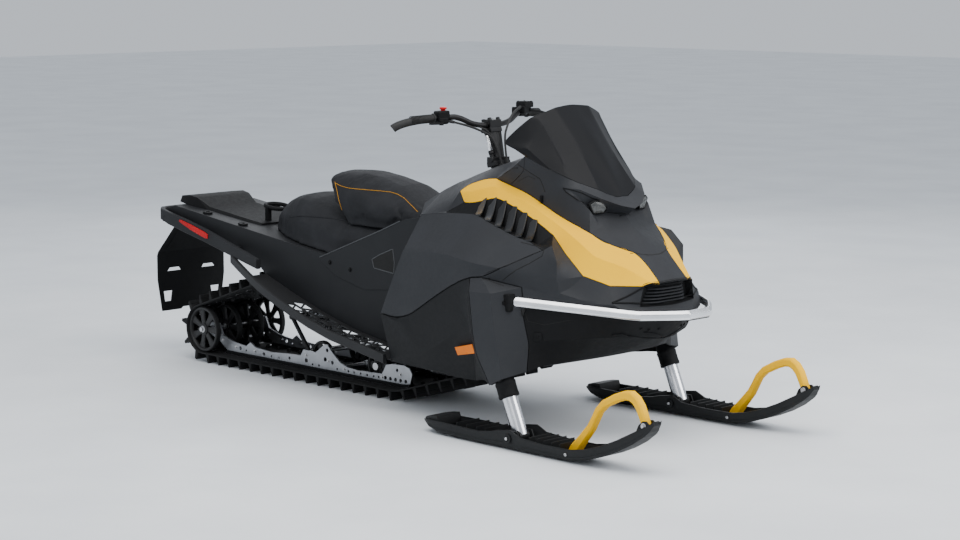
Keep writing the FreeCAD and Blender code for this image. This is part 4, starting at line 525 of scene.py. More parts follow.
# Corner places of the left half in millimetres, the same as the solids' corners
SKIN = {
    # stripe: inner edge i, middle m, outer edge o, from the rear tip forward
    "tip": (393, 222, 875),
    "i0": (425, 200, 902), "m0": (430, 225, 874), "o0": (433, 240, 837),
    "i1": (490, 185, 924), "m1": (496, 224, 890), "o1": (500, 249, 842),
    "i2": (549, 180, 930), "m2": (572, 222, 905), "o2": (591, 250, 863),
    "i3": (626, 190, 912), "m3": (640, 228, 893), "o3": (650, 252, 859),
    "i4": (739, 200, 883), "m4": (770, 234, 853), "o4": (792, 255, 810),
    "i5": (888, 197, 817), "m5": (905, 236, 795), "o5": (914, 262, 755),
    "i6": (1021, 182, 767), "m6": (1010, 236, 740), "o6": (985, 272, 693),
    "i7": (1088, 147, 727), "m7": (1087, 218, 686), "o7": (1067, 268, 620),
    "i8": (1160, 87, 693), "m8": (1167, 160, 650), "o8": (1150, 215, 587),
    "i9": (1267, 78, 595), "m9": (1256, 106, 596), "o9": (1241, 130, 588),
    # hood centre line and lamp recess
    "c0": (1275, 0, 598), "c1": (1166, 0, 695), "c2": (1112, 0, 745), "c3": (1072, 0, 775),
    "r1": (1030, 110, 784), "r2": (1016, 136, 800), "r3": (1002, 163, 845),
    "r4": (946, 182, 893), "r5": (891, 193, 923),
    "q0": (1036, 0, 815), "q1": (1000, 75, 832), "q2": (985, 122, 842), "q3": (966, 158, 868),
    "b0": (1078, 0, 845), "b1": (1060, 60, 859), "b2": (1020, 120, 885), "b3": (961, 170, 917),
    # windshield base
    "w0": (1015, 0, 885), "w1": (1010, 45, 890), "w2": (990, 100, 913), "w3": (940, 150, 938),
    "w4": (898, 180, 959), "w5": (845, 200, 983), "w6": (780, 215, 1009), "w7": (730, 220, 1028),
    # hood side and console
    "s4": (800, 200, 915), "s3": (715, 212, 972), "s2": (640, 205, 972),
    "k0": (690, 0, 1010), "kp": (722, 180, 1025), "k1": (560, 95, 990), "k2": (530, 0, 998),
    "k3": (450, 100, 958), "k4": (440, 0, 970),
    "k5": (300, 110, 900), "k6": (300, 0, 915), "k7": (205, 120, 860), "k8": (205, 0, 872),
    "k9": (90, 120, 800), "k10": (90, 0, 812),
    "j0": (361, 262, 797), "j1": (200, 250, 770), "j2": (150, 200, 762),
    # dash floor behind the windshield
    "dash0": (990, 0, 872), "dash1": (984, 42, 877), "dash2": (966, 90, 897), "dash3": (920, 134, 922),
    "dash4": (882, 160, 943), "dash5": (834, 180, 966), "dash6": (772, 192, 992),
    # windshield
    "top0": (756, 0, 1210), "top1": (760, 90, 1203), "top2": (746, 147, 1184),
    "edge1": (729, 190, 1168), "edge2": (698, 225, 1130), "edge3": (661, 255, 1078),
    "edge4": (705, 246, 1052),
    "mid0": (902, 0, 1046), "mid1": (887, 85, 1043), "mid2": (853, 146, 1036),
    "fold1": (758, 168, 1153), "fold2": (818, 164, 1073), "fold3": (866, 168, 1010),
    "wing1": (749, 212, 1089), "wing2": (751, 230, 1058),
    # air intake channel between the stripe and the side panel
    "ch1": (505, 292, 792), "ch2": (605, 298, 790), "ch3": (700, 300, 770), "ch4": (798, 302, 742),
    "ch5": (880, 306, 718),
    # grille recess
    "gr0": (1248, 0, 590), "gr1": (1240, 76, 587), "gr2": (1216, 118, 580), "gr3": (1212, 134, 523),
    "gr4": (1234, 0, 519),
    # side panel: top t, crest p, groove g
    "t0": (275, 315, 785), "t1": (428, 325, 805), "t2": (587, 335, 812), "t3": (691, 337, 780),
    "t4": (798, 340, 750), "t5": (878, 345, 737), "t6": (947, 350, 711),
    "p0": (250, 392, 645), "p1": (493, 427, 665), "p2": (671, 445, 650), "p3": (810, 430, 640),
    "e1": (208, 400, 552), "e2": (162, 395, 469),
    "g0": (116, 385, 393), "g1": (212, 397, 389), "g2": (296, 405, 408), "g3": (433, 420, 482),
    "g4": (582, 435, 559), "g5": (671, 446, 592), "g6": (728, 446, 601),
    # lower panel
    "l0": (133, 375, 308), "l1": (144, 355, 203), "l2": (358, 350, 195), "l3": (494, 350, 188),
    "l4": (617, 360, 192), "l5": (723, 420, 218),
    "y1": (240, 405, 374), "y2": (345, 397, 275), "y3": (438, 408, 300), "y4": (571, 425, 374),
    "y5": (666, 440, 401),
    # inner lower edge beside the track
    "n1": (144, 238, 203), "n2": (358, 238, 195), "n3": (494, 238, 188),
    "n4": (617, 240, 212), "n5": (723, 240, 240),
    # strut cover
    "u0": (702, 484, 549), "u1": (734, 489, 365), "u2": (761, 486, 295), "u3": (814, 488, 216),
    "v0": (819, 492, 555), "v1": (850, 494, 386), "v2": (870, 495, 316), "v3": (879, 497, 246),
    "x0": (887, 397, 575), "x1": (905, 405, 470), "x2": (925, 398, 370), "x3": (918, 400, 268),
    # nose side and its shelf
    "z0": (973, 332, 730), "z1": (1016, 352, 675), "z2": (1017, 352, 609),
    "f0": (1043, 305, 582), "f1": (1113, 278, 530), "f2": (1190, 235, 524), "f3": (1236, 150, 514),
    "f4": (1262, 0, 510),
    "a1": (947, 367, 560), "a2": (1022, 342, 562),
    # outline at the front bar and the chin
    "d0": (905, 400, 505), "d1": (1000, 345, 492), "d2": (1120, 282, 486), "d3": (1235, 190, 484),
    "d4": (1290, 70, 484), "d5": (1296, 0, 484),
    "h0": (959, 372, 385), "h1": (1040, 320, 392), "h2": (1120, 262, 400), "h3": (1196, 150, 402),
    "h4": (1232, 50, 394), "h5": (1236, 0, 394),
    # belly
    "e3": (940, 350, 286), "e4": (1000, 240, 300), "e5": (1070, 120, 318), "e6": (1078, 0, 318),
    "e7": (860, 240, 262), "e8": (900, 0, 268), "e9": (723, 0, 250), "e10": (590, 0, 240),
    "e11": (590, 235, 225),
}

# Each panel's faces, corners anticlockwise seen from outside
PANEL_FACES = {
    "hood_stripes": "tip i0 m0, tip m0 o0, " + ", ".join(
        f"i{n} i{n + 1} m{n + 1} m{n}, m{n} m{n + 1} o{n + 1} o{n}" for n in range(9)
    ),
    "hood": """
        c0 i9 i8 c1, c1 i8 i7 c2, c2 i7 r1 c3, i7 i6 r1, i6 r2 r1, i6 r3 r2, i6 i5 r4 r3, i5 r5 r4,
        i5 s4 r5, i5 i4 s4, c3 r1 q1 q0, r1 r2 q2 q1, r2 r3 q3 q2, r3 r4 q3, q0 q1 b1 b0, q1 q2 b2 b1,
        q2 q3 b3 b2, q3 r4 r5 b3, b0 b1 w1 w0, b1 b2 w2 w1, b2 b3 w3 w2, b3 r5 w4 w3, r5 s4 w5 w4,
        s4 s3 w6 w5, s3 w7 w6, i4 i3 s3 s4
    """,
    "console": """
        s3 s2 w7, i3 s2 s3, i3 i2 s2, s2 k1 kp w7, k1 k0 kp, k1 k2 k0, i2 k1 s2, i2 i1 k3 k1, k1 k3 k4 k2,
        i1 i0 k3, i0 tip k5 k3, k3 k5 k6 k4, tip j0 j1 k5, k5 j1 k7, k5 k7 k8 k6, j1 j2 k7, k7 j2 k9,
        k7 k9 k10 k8, tip o0 j0, j0 t1 t0 j1
    """,
    "dash": """
        k0 dash0 dash1, k0 dash1 dash2, k0 dash2 dash3, k0 dash3 dash4, k0 dash4 dash5, k0 dash5 dash6,
        k0 dash6 kp
    """,
    "windshield": """
        w0 w1 mid1 mid0, w1 w2 mid1, w2 w3 mid2 mid1, w3 w4 fold3 mid2, mid0 mid1 top1 top0,
        mid1 mid2 top2 top1, mid2 fold2 fold1 top2, mid2 fold3 fold2, w4 w5 fold3, w5 wing2 fold2 fold3,
        w5 w6 wing2, fold2 wing2 wing1 fold1, w6 w7 edge4 wing2, wing2 edge4 edge3 wing1,
        wing1 edge3 edge2 edge1, fold1 wing1 edge1, fold1 edge1 top2
    """,
    "intake_vents": """
        o0 o1 ch1 j0, j0 ch1 t1, o1 o2 ch2 ch1, o2 o3 ch3 ch2, o3 o4 ch4 ch3, o4 o5 ch5 ch4, o5 z0 ch5,
        ch1 ch2 t2 t1, ch2 ch3 t3 t2, ch3 ch4 t4 t3, ch4 ch5 t5 t4, ch5 z0 t6 t5
    """,
    "front_grille": """
        gr4 gr3 gr2, gr4 gr2 gr1, gr4 gr1 gr0, f4 f3 gr3 gr4, f3 o9 gr2 gr3, o9 m9 gr2, m9 i9 gr1 gr2,
        i9 c0 gr0 gr1
    """,
    "side_panels": """
        t1 p1 p0 t0, t2 p1 t1, t3 p2 p1 t2, t4 p2 t3, t5 p3 p2 t4, t6 p3 t5, p1 e1 p0, p1 g2 e1, e1 g2 e2,
        e2 g2 g1 g0, p1 g3 g2, p1 p2 g4 g3, p2 g5 g4, p2 p3 g6 g5
    """,
    "lower_panels": """
        g0 g1 y1, g0 y1 l0, y1 y2 l1 l0, y2 l2 l1, g1 g2 y1, g2 y2 y1, g2 g3 y3 y2, y2 y3 l2, g3 g4 y4 y3,
        y3 y4 l3 l2, g4 g5 u0 y5, g4 y5 y4, y4 y5 l4 l3, y5 u1 u2 l4, y5 u0 u1, l4 u2 u3 l5, l1 l2 n2 n1,
        l2 l3 n3 n2, l3 l4 n4 n3, l4 l5 n5 n4
    """,
    "strut_covers": """
        g5 g6 v0 u0, g6 x0 v0, u0 v0 v1 u1, u1 v1 v2 u2, u2 v2 v3 u3, v0 x0 x1 v1, v1 x1 x2 v2, v2 x2 x3 v3
    """,
    "nose_sides": """
        p3 t6 z1 z2, t6 z0 z1, g6 p3 z2 x0, x0 z2 a2 a1, z0 o5 o6 z1, z1 o6 o7 z2, z2 o7 f0, z2 f0 a2,
        a2 f0 f1, o7 o8 f1 f0, o8 f2 f1, o8 o9 f3 f2, x0 a1 d0 x1, a1 a2 d1 d0, a2 f1 d2 d1, f1 f2 d3 d2,
        f2 f3 d4 d3, f3 f4 d5 d4
    """,
    "belly_pan": """
        x1 d0 h0 x2, d0 d1 h1 h0, d1 d2 h2 h1, d2 d3 h3 h2, d3 d4 h4 h3, d4 d5 h5 h4, x2 h0 e3 x3,
        h0 h1 e4 e3, h1 h2 e4, h2 h3 e5 e4, h3 h4 e5, h4 h5 e6 e5, e3 e4 e7, e4 e5 e8 e7, e5 e6 e8,
        e7 e8 e9 n5, n5 e9 e10 e11
    """,
}
PANELS = {name: [face.split() for face in faces.split(",")] for name, faces in PANEL_FACES.items()}
PANEL_NAMES = list(PANELS)


def skin_cage():
    """Both halves of the body as one cage: places, faces and the panel of each face."""
    places, index = [], {}
    for name, (x, y, z) in SKIN.items():
        for side in (1, -1):
            if y == 0 and side == -1:
                index[name, -1] = index[name, 1]
                continue
            index[name, side] = len(places)
            places.append(Vector((x, y * side, z)) / 1000)
    faces, owners = [], []
    for owner, panel in enumerate(PANEL_NAMES):
        for names in PANELS[panel]:
            faces.append([index[name, 1] for name in names])
            faces.append([index[name, -1] for name in reversed(names)])
            owners += [owner, owner]
    return places, faces, owners


def crease_of(angle):
    """How sharp an edge between two faces stays, from 0 for a smooth one."""
    if angle < 7:
        return 0.0
    if angle < 24:
        return 0.2 + 0.4 * (angle - 7) / 17
    return 0.72


def smooth_skin():
    """The cage subdivided so that the surface still passes through the cage's own corners."""
    places, faces, owners = skin_cage()
    mesh = bpy.data.meshes.new("skin_cage")
    mesh.from_pydata([tuple(p) for p in places], [], faces)
    mesh.update()
    for polygon, owner in zip(mesh.polygons, owners):
        polygon.material_index = owner
    bm = bmesh.new()
    bm.from_mesh(mesh)
    layer = bm.edges.layers.float.new("crease_edge")
    for edge in bm.edges:
        if len(edge.link_faces) != 2:
            edge[layer] = 0.0
            continue
        first, second = edge.link_faces
        angle = math.degrees(first.normal.angle(second.normal, 0))
        crease = crease_of(angle)
        if first.material_index != second.material_index:
            crease = max(crease, 0.45)
        edge[layer] = crease
    bm.to_mesh(mesh)
    bm.free()
    for _ in PANEL_NAMES:
        mesh.materials.append(None)
    cage = link(bpy.data.objects.new("skin_cage", mesh))
    modifier(cage, "SUBSURF", levels=3, render_levels=3, use_limit_surface=False)
    targets = [place.copy() for place in places]
    for _ in range(5):
        bpy.context.view_layer.update()
        shown = cage.evaluated_get(bpy.context.evaluated_depsgraph_get()).to_mesh()
        for i, target in enumerate(targets):
            mesh.vertices[i].co += (target - shown.vertices[i].co) * 0.8
        mesh.update()
    bpy.context.view_layer.update()
    shown = bpy.data.meshes.new_from_object(cage.evaluated_get(bpy.context.evaluated_depsgraph_get()))
    bpy.data.objects.remove(cage)
    return shown


SHOWN_SKIN = smooth_skin()
SKIN_TREE = mesh_tree(SHOWN_SKIN)


def skin_part(names):
    """The skin's faces that belong to some panels."""
    owners = {PANEL_NAMES.index(name) for name in names}
    bm = bmesh.new()
    bm.from_mesh(SHOWN_SKIN)
    drop = [face for face in bm.faces if face.material_index not in owners]
    bmesh.ops.delete(bm, geom=drop, context="FACES")
    for face in bm.faces:
        face.material_index = 0
    return bm


def panel_mesh(names, gap):
    """The part of the skin that some panels cover, its edges drawn in by a gap."""
    bm = skin_part(names)
    shifts = {}
    for vert in bm.verts:
        rim = [edge for edge in vert.link_edges if len(edge.link_faces) == 1]
        if not rim:
            continue
        inward = Vector((0, 0, 0))
        for edge in rim:
            other = edge.other_vert(vert).co - vert.co
            towards = edge.link_faces[0].calc_center_median() - vert.co
            along = other.normalized()
            towards -= along * towards.dot(along)
            inward += towards.normalized()
        if abs(vert.co.y) < 1e-5:
            inward.y = 0
        if inward.length > 1e-6:
            shifts[vert] = inward.normalized() * gap
    for vert, shift in shifts.items():
        vert.co += shift
    return bm


# Each node's material, and how far its panels' edges are drawn in, in metres
# The lower panels' darker charcoal is painted shade.
PANEL_LOOKS = {
    "hood_stripes": (AMBER, 0.0010), "hood": (CHARCOAL, 0.0010), "side_panels": (CHARCOAL, 0.0030),
    "lower_panels": (SHADED_LOW_CHARCOAL, 0.0025), "strut_covers": (CHARCOAL, 0.0025),
    "nose_sides": (CHARCOAL, 0.0010), "belly_pan": (BLACK, 0.0), "front_grille": (BLACK, 0.0),
    "intake_vents": (BLACK, 0.0), "windshield": (SCREEN, 0.0008), "console": (CHARCOAL, 0.0008),
}
for panel_node, (panel_material, panel_gap) in PANEL_LOOKS.items():
    panel_names = ["console", "dash"] if panel_node == "console" else [panel_node]
    panel = bm_object(panel_node + "_skin", panel_mesh(panel_names, panel_gap))
    sharp_by_angle(panel, 24)
    modifier(panel, "SOLIDIFY", thickness=0.004, offset=-1)
    soften(panel, 0.0009, 2, 50)
    piece(panel, "chassis", panel_material, [panel_node])


# Body: shade liner, seams, lamps, grille, vent blades

LINER_DEPTH = 0.0075


def body_shade_liner():
    """A near-black inner skin that closes the view through the panel gaps; its colour is painted shade for
    the hollow body behind them.
    """
    bm = skin_part(name for name in PANEL_NAMES if name != "windshield")
    bm.normal_update()
    for vert in bm.verts:
        vert.co -= vert.normal * LINER_DEPTH
    liner = bm_object("body_shade_liner", bm)
    modifier(liner, "SOLIDIFY", thickness=0.0015, offset=-1)
    return liner


piece(body_shade_liner(), "chassis", DARK_JOINT_AND_SHADE)

RIBBON_ROOT = 0.0015


def ribbon(pixels, width, rise):
    """A narrow lip that lies on the body along a line, in millimetres."""
    line = seen_line(SKIN_TREE, pixels, 2.0)
    half, lift = width / 2000, rise / 1000
    rings = []
    for i, (place, normal) in enumerate(line):
        before, after = line[max(0, i - 1)][0], line[min(len(line) - 1, i + 1)][0]
        across = (after - before).cross(normal)
        if across.length < 1e-9:
            continue
        across.normalize()
        rings.append([
            place - across * half - normal * RIBBON_ROOT, place + across * half - normal * RIBBON_ROOT,
            place + across * half * 0.8 + normal * lift, place - across * half * 0.8 + normal * lift,
        ])
    return rings_mesh("ribbon", rings)


SEAM_LINES = [
    # console hatch
    [(517, 164), (529, 172), (540, 179), (543, 186), (545, 192)],
    [(502, 175), (513, 168), (518, 168)],
    # lower edge of the lamp surround, and the nose seam below it
    [(581, 228), (599, 238), (612, 245), (626, 250), (640, 254), (652, 255), (662, 253), (668, 248)],
    # shoulder of the side panel
    [(521, 242), (536, 246), (544, 250), (542, 256), (530, 263), (516, 270), (508, 276), (503, 280)],
    # joint between the side panel and the strut cover
    [(481, 278), (493, 282), (504, 286)],
]
FAINT_LINES = [
    [(517, 182), (528, 176), (535, 179)],
    [(486, 273), (510, 264), (530, 256), (540, 251)],
    [(525, 312), (528, 321), (544, 325), (572, 320)],
]
seams = [ribbon(line, 4.0, 0.6) for line in SEAM_LINES] + [ribbon(line, 2.2, 0.4) for line in FAINT_LINES]
paired("body_seams", seams, "chassis", DARK_JOINT_AND_SHADE)


BLADE_EDGES = ["o1 o2 o3 o4 o5".split(), "ch1 ch2 ch3 ch4 ch5".split(), "t1 t2 t3 t4 t5 t6".split()]


def along_edge(names, x):
    """The point at x on the line through some corners of the body."""
    corners = [Vector(SKIN[name]) for name in names]
    for start, end in zip(corners, corners[1:]):
        if start.x <= x <= end.x:
            return start + (end - start) * ((x - start.x) / (end.x - start.x))
    return corners[-1]


def vent_blade(x):
    """One curved blade from the stripe across the trough to the side panel."""
    stripe, trough, side = BLADE_EDGES
    rings = []
    for i in range(11):
        share = i / 10
        ring = []
        for shift, lift in ((-20, 2), (17, 15), (20, 10), (-17, -3)):
            start = along_edge(stripe, x - 30 + shift) + Vector((0, -2, -5))
            middle = along_edge(trough, x + shift) + Vector((0, 0, 6))
            end = along_edge(side, x + 26 + shift) + Vector((0, 3, -5))
            place = start * (1 - share) ** 2 + middle * (2 * share * (1 - share)) + end * share ** 2
            ring.append(mm(place + Vector((0, 0, lift))))
        rings.append(ring)
    blade = rings_mesh("vent_blade", rings)
    sharp_by_angle(blade, 30)
    return soften(blade, 0.0012, 2, 40)


paired("vent_blades", [vent_blade(x) for x in range(572, 843, 54)], "chassis", GLOSS)


# Headlamps

LAMP_RIM = [
    (999, 158, 864), (1006, 140, 876), (1014, 100, 869),
    (1019, 90, 847), (1013, 101, 832), (1000, 141, 830),
]
LAMP_MIDDLE = Vector((1009, 122, 853))


def lamp_rings(steps):
    """The lamp's rim grown or shrunk and moved forward, for each (scale, shift)."""
    rim = [Vector(point) for point in LAMP_RIM]
    forward = (rim[2] - rim[0]).cross(rim[4] - rim[0]).normalized()
    if forward.x < 0:
        forward = -forward
    rings = []
    for scale, shift in steps:
        rings.append([mm(LAMP_MIDDLE + (point - LAMP_MIDDLE) * scale + forward * shift) for point in rim])
    return rings


lens_rings = lamp_rings([(1.0, -14), (1.0, -1), (0.93, 2.5), (0.55, 5.5), (0.14, 6.5)])
lens = soften(rings_mesh("lens", lens_rings, smooth=False), 0.0008, 2, 20)
bezel_rings = lamp_rings([(1.0, -9), (1.13, -9), (1.16, 1), (1.03, 2.5), (1.0, -2)])
bezel = soften(rings_mesh("bezel", bezel_rings + bezel_rings[:1], caps=False, smooth=False), 0.0008, 2, 20)
paired("headlamp_lenses", [lens], "chassis", LENS, ["headlamps"])
paired("headlamp_bezels", [bezel], "chassis", BLACK)

LAMP_LINES = [
    # upper and lower lips of the eye round each lamp
    [(563, 188), (566, 192), (576, 199), (584, 203)],
    [(563, 188), (572, 190), (582, 193), (592, 198), (600, 200)],
    [(607, 212), (614, 213), (622, 213), (630, 215)],
]
paired("lamp_lips", [ribbon(line, 4.5, 1.2) for line in LAMP_LINES], "chassis", BLACK)


# Grille


def grille_slats():
    """Five slats over the grille's slots, each swept round the nose."""
    made = []
    for i, height in enumerate((523, 535, 547, 559, 571)):
        share = i / 4
        front, half = 1243 + 8 * share, 108 - 22 * share
        path = [(front - 30, half + 10), (front - 10, half - 14), (front, half - 40), (front + 1, 0)]
        path += [(x, -y) for x, y in reversed(path[:-1])]
        section = [(-4, -3.2), (3, -3.2), (5, -0.5), (1, 3.2), (-4, 3.2)]
        rings = [[mm((x + a, y, height + b)) for a, b in section] for x, y in path]
        slat = rings_mesh("slat", rings, smooth=False)
        made.append(soften(slat, 0.0008, 2, 30))
    return made


piece(joined("grille_slats", grille_slats()), "chassis", CHARCOAL)

GRILLE_LINES = [
    # the bezel round the grille and the mouth below the bumper
    [(612, 303), (626, 297), (637, 291), (646, 286), (668, 284), (692, 281)],
    [(612, 303), (632, 303), (652, 304), (672, 302), (686, 297), (691, 289)],
]
MOUTH_LINES = [
    [(628, 336), (645, 338), (662, 338), (674, 333), (684, 325)], [(628, 336), (622, 334), (612, 335)],
]
bezels = [ribbon(line, 7, 2.5) for line in GRILLE_LINES] + [ribbon(line, 6, 3) for line in MOUTH_LINES]
paired("grille_bezels", bezels, "chassis", BLACK)


# Front bumper

BAR_MIDDLE_X = 600
FRONT_BAR = [(870, 422, 524), (1245, 214, 492), (1275, 193, 490), (1362, 88, 490), (1382, 55, 490)]


def swept_bar(name, path, section):
    """A bar with mitred corners along a path, its section as (outward, up) in millimetres."""
    points = [Vector(point) for point in path]
    rings = []
    for i, point in enumerate(points):
        before = (point - points[i - 1]).normalized() if i else None
        after = (points[i + 1] - point).normalized() if i < len(points) - 1 else None
        along = ((before or after) + (after or before)).normalized()
        outward = Vector((0, 0, 1)).cross(along).normalized()
        if outward.dot(Vector((point.x - BAR_MIDDLE_X, point.y, 0))) < 0:
            outward = -outward
        share = 1 / max(0.5, along.dot(after or before))
        up = along.cross(outward)
        if up.z < 0:
            up = -up
        rings.append([mm(point + outward * a * share + up * b) for a, b in section])
    return rings_mesh(name, rings, smooth=False)


bar_path = FRONT_BAR + [(x, -y, z) for x, y, z in reversed(FRONT_BAR)]
BAR_SECTION = [(-9, 12), (-5, 17), (0, 17), (8.5, 5), (9, -10), (6, -16), (0, -17), (-8, -12)]
bar = swept_bar("front_bar", bar_path, BAR_SECTION)
piece(soften(bar, 0.0018, 3, 15), "chassis", SILVER, ["front_bumper"])

# The black brackets that hold the bar's rear ends, and a black strip under the bar that is painted shade for
# the bar's underside
ends = [box("bar_clamp", (850, -436, 520), (54, 36, 64), 0.005)]
ends.append(box("bar_stub", (826, -430, 516), (40, 24, 26), 0.003))
ends += bolt((852, -454, 520), (0, -1, 0), 7)
ends += [mirror_copy(end) for end in ends]
under = swept_bar("bar_shade_strip", bar_path[1:-1], [(-8, -15.5), (5, -15.5), (2, -20), (-8, -20)])
piece(joined("bar_ends", ends + [under]), "chassis", BLACK)


def on_body(px, py):
    """The place in millimetres and the normal of the body under a pixel."""
    place, normal = seen_on(SKIN_TREE, px, py)
    return place * 1000, normal


def boss(px, py, size_mm):
    """A square boss with a bolt, on the body where a pixel's ray meets it."""
    at, normal = on_body(px, py)
    block = box("boss", at + normal * 1.5, (size_mm, size_mm, 7), 0.002, normal)
    return [block] + bolt(at + normal * 4, normal, 4.5)


COVER_BOSS_PIXEL, PANEL_SCREW_PIXEL, LATCH_PIXEL = (538, 337), (489, 279), (542, 199)
NOSE_BOLT_PIXELS = [(641, 329), (649, 330), (659, 329)]
bosses = boss(*COVER_BOSS_PIXEL, 30) + button(*on_body(*PANEL_SCREW_PIXEL), 5, 3)
for px, py in NOSE_BOLT_PIXELS:
    bosses += bolt(*on_body(px, py), 5)
paired("body_bosses", bosses, "chassis", BLACK)

at, normal = on_body(*LATCH_PIXEL)
latch = [box("latch", at + normal * 3, (12, 26, 8), 0.002, normal)]
latch.append(box("latch_tab", at + normal * 8, (8, 14, 6), 0.002, normal))
paired("console_latches", latch, "chassis", BLACK)


# Track

LUG_HEIGHT, BELT_THICKNESS, LUG_COUNT, TRACK_HALF, DRIVE_LUG_Y = 38, 8, 54, 203, 82
BELT_MIDDLE = LUG_HEIGHT + BELT_THICKNESS / 2
REAR_AXLE_X, DRIVE_AXLE_X, DRIVE_AXLE_Z = -1245, 400, 256
REAR_WHEEL, DRIVE_WHEEL, BELT_OUT = 100, 85, 5
REAR_AXLE_Z = BELT_MIDDLE + REAR_WHEEL + BELT_OUT
IDLER, CARRIER_X, CARRIER_Z = 62, -600, 407
RAMP_X, RAMP_RADIUS = -43, 300
RAIL_Y, SLIDER_LOW = 130, LUG_HEIGHT + BELT_THICKNESS + 0.3
BELT_CIRCLES = [
    (REAR_AXLE_X, REAR_AXLE_Z, REAR_WHEEL + BELT_OUT), (RAMP_X, BELT_MIDDLE + RAMP_RADIUS, RAMP_RADIUS),
    (DRIVE_AXLE_X, DRIVE_AXLE_Z, DRIVE_WHEEL + BELT_OUT), (CARRIER_X, CARRIER_Z, IDLER + BELT_OUT),
]


def belt_runs():
    """The belt's middle line as straight runs and turns, anticlockwise from under the rear wheel."""
    angles = []
    for i, first in enumerate(BELT_CIRCLES):
        second = BELT_CIRCLES[(i + 1) % 4]
        slope = math.atan2(second[1] - first[1], second[0] - first[0])
        gap = math.hypot(second[0] - first[0], second[1] - first[1])
        angles.append(slope + math.asin((first[2] - second[2]) / gap))
    runs = []
    for i, first in enumerate(BELT_CIRCLES):
        second, angle = BELT_CIRCLES[(i + 1) % 4], angles[i]
        start = (first[0] + first[2] * math.sin(angle), first[1] - first[2] * math.cos(angle))
        end = (second[0] + second[2] * math.sin(angle), second[1] - second[2] * math.cos(angle))
        runs.append((math.dist(start, end), start, None, angle))
        turn = (angles[(i + 1) % 4] - angle) % (2 * math.pi)
        runs.append((turn * second[2], second[:2], second[2], angle))
    return runs


BELT_RUNS = belt_runs()
BELT_LENGTH = sum(run[0] for run in BELT_RUNS)
LUG_PITCH = BELT_LENGTH / LUG_COUNT


def on_belt(distance):
    """The place, forward direction and outward direction at a distance along the belt."""
    left = distance % BELT_LENGTH
    for length, base, radius, angle in BELT_RUNS:
        if left <= length:
            break
        left -= length
    if radius is None:
        x, z = base[0] + left * math.cos(angle), base[1] + left * math.sin(angle)
    else:
        angle += left / radius
        x, z = base[0] + radius * math.sin(angle), base[1] - radius * math.cos(angle)
    return (x, z), (math.cos(angle), math.sin(angle)), (math.sin(angle), -math.cos(angle))


def belt_point(distance, out, y):
    (x, z), _, outward = on_belt(distance)
    return mm((x + outward[0] * out, y, z + outward[1] * out))


def belt_band():
    """The belt itself, with a rolled edge."""
    section = [
        (-TRACK_HALF, -2), (-TRACK_HALF + 3, -4), (TRACK_HALF - 3, -4), (TRACK_HALF, -2), (TRACK_HALF, 2),
        (TRACK_HALF - 3, 4), (-TRACK_HALF + 3, 4), (-TRACK_HALF, 2),
    ]
    steps = LUG_COUNT * 3
    rings = [[belt_point(BELT_LENGTH * i / steps, out, y) for y, out in section] for i in range(steps)]
    band = rings_mesh("belt_band", rings, looped=True)
    sharp_by_angle(band, 40)
    return band


def belt_block(bm, at, *levels):
    """A block on the belt between two levels, each (out, reach along the belt, low y, high y)."""
    verts = []
    for out, reach, low, high in levels:
        for along, y in ((-reach, low), (reach, low), (reach, high), (-reach, high)):
            verts.append(bm.verts.new(belt_point(at + along, out, y)))
    for corners in ((0, 1, 2, 3), (7, 6, 5, 4), (0, 4, 5, 1), (1, 5, 6, 2), (2, 6, 7, 3), (3, 7, 4, 0)):
        bm.faces.new([verts[c] for c in corners])


def belt_object(name, bm, bevel):
    bmesh.ops.recalc_face_normals(bm, faces=bm.faces)
    return soften(bm_object(name, bm, smooth=False), bevel, 1, 30)


def belt_lugs():
    """Paddles, side blocks and inner drive lugs for every pitch."""
    bm = bmesh.new()
    for i in range(LUG_COUNT):
        middle, stagger = (i + 0.5) * LUG_PITCH, 4 if i % 2 else -4
        for low, high, root, tip, height, shift in (
            (-TRACK_HALF, -132, 10, 4.5, LUG_HEIGHT, 0), (132, TRACK_HALF, 10, 4.5, LUG_HEIGHT, 0),
            (-DRIVE_LUG_Y, DRIVE_LUG_Y, 10, 4.5, LUG_HEIGHT, stagger * 0.5),
            (-128, -120, 12, 8, 20, stagger), (120, 128, 12, 8, 20, stagger),
        ):
            taper = 5 if high - low > 20 else 1
            levels = []
            waist = 3.0 + (height + 1) * 0.55
            shape = [(3.0, root, 0), (waist, root * 0.62, taper * 0.4), (4 + height, tip, taper)]
            for out, reach, inset in shape:
                levels.append((out, reach, low + inset, high - inset))
            belt_block(bm, middle + shift, levels[0], levels[1])
            belt_block(bm, middle + shift, levels[1], levels[2])
    for i in range(LUG_COUNT):
        for y in (-DRIVE_LUG_Y, DRIVE_LUG_Y):
            belt_block(bm, (i + 0.5) * LUG_PITCH, (-3.5, 9, y - 9, y + 9), (-18, 4, y - 6, y + 6))
    return belt_object("track_lugs", bm, 0.0014)


def belt_clips():
    """Steel clips on the belt between the paddles, where the rails slide."""
    bm = bmesh.new()
    for i in range(LUG_COUNT):
        for y in (-RAIL_Y, RAIL_Y):
            belt_block(bm, i * LUG_PITCH, (-4.6, 7, y - 13, y + 13), (4.8, 7, y - 13, y + 13))
    return belt_object("track_clips", bm, 0.0008)


lugs = belt_lugs()
piece(joined("track_loop", [belt_band(), lugs]), "chassis", TRACK, ["track"])
piece(belt_clips(), "chassis", STEEL)


# Wheels


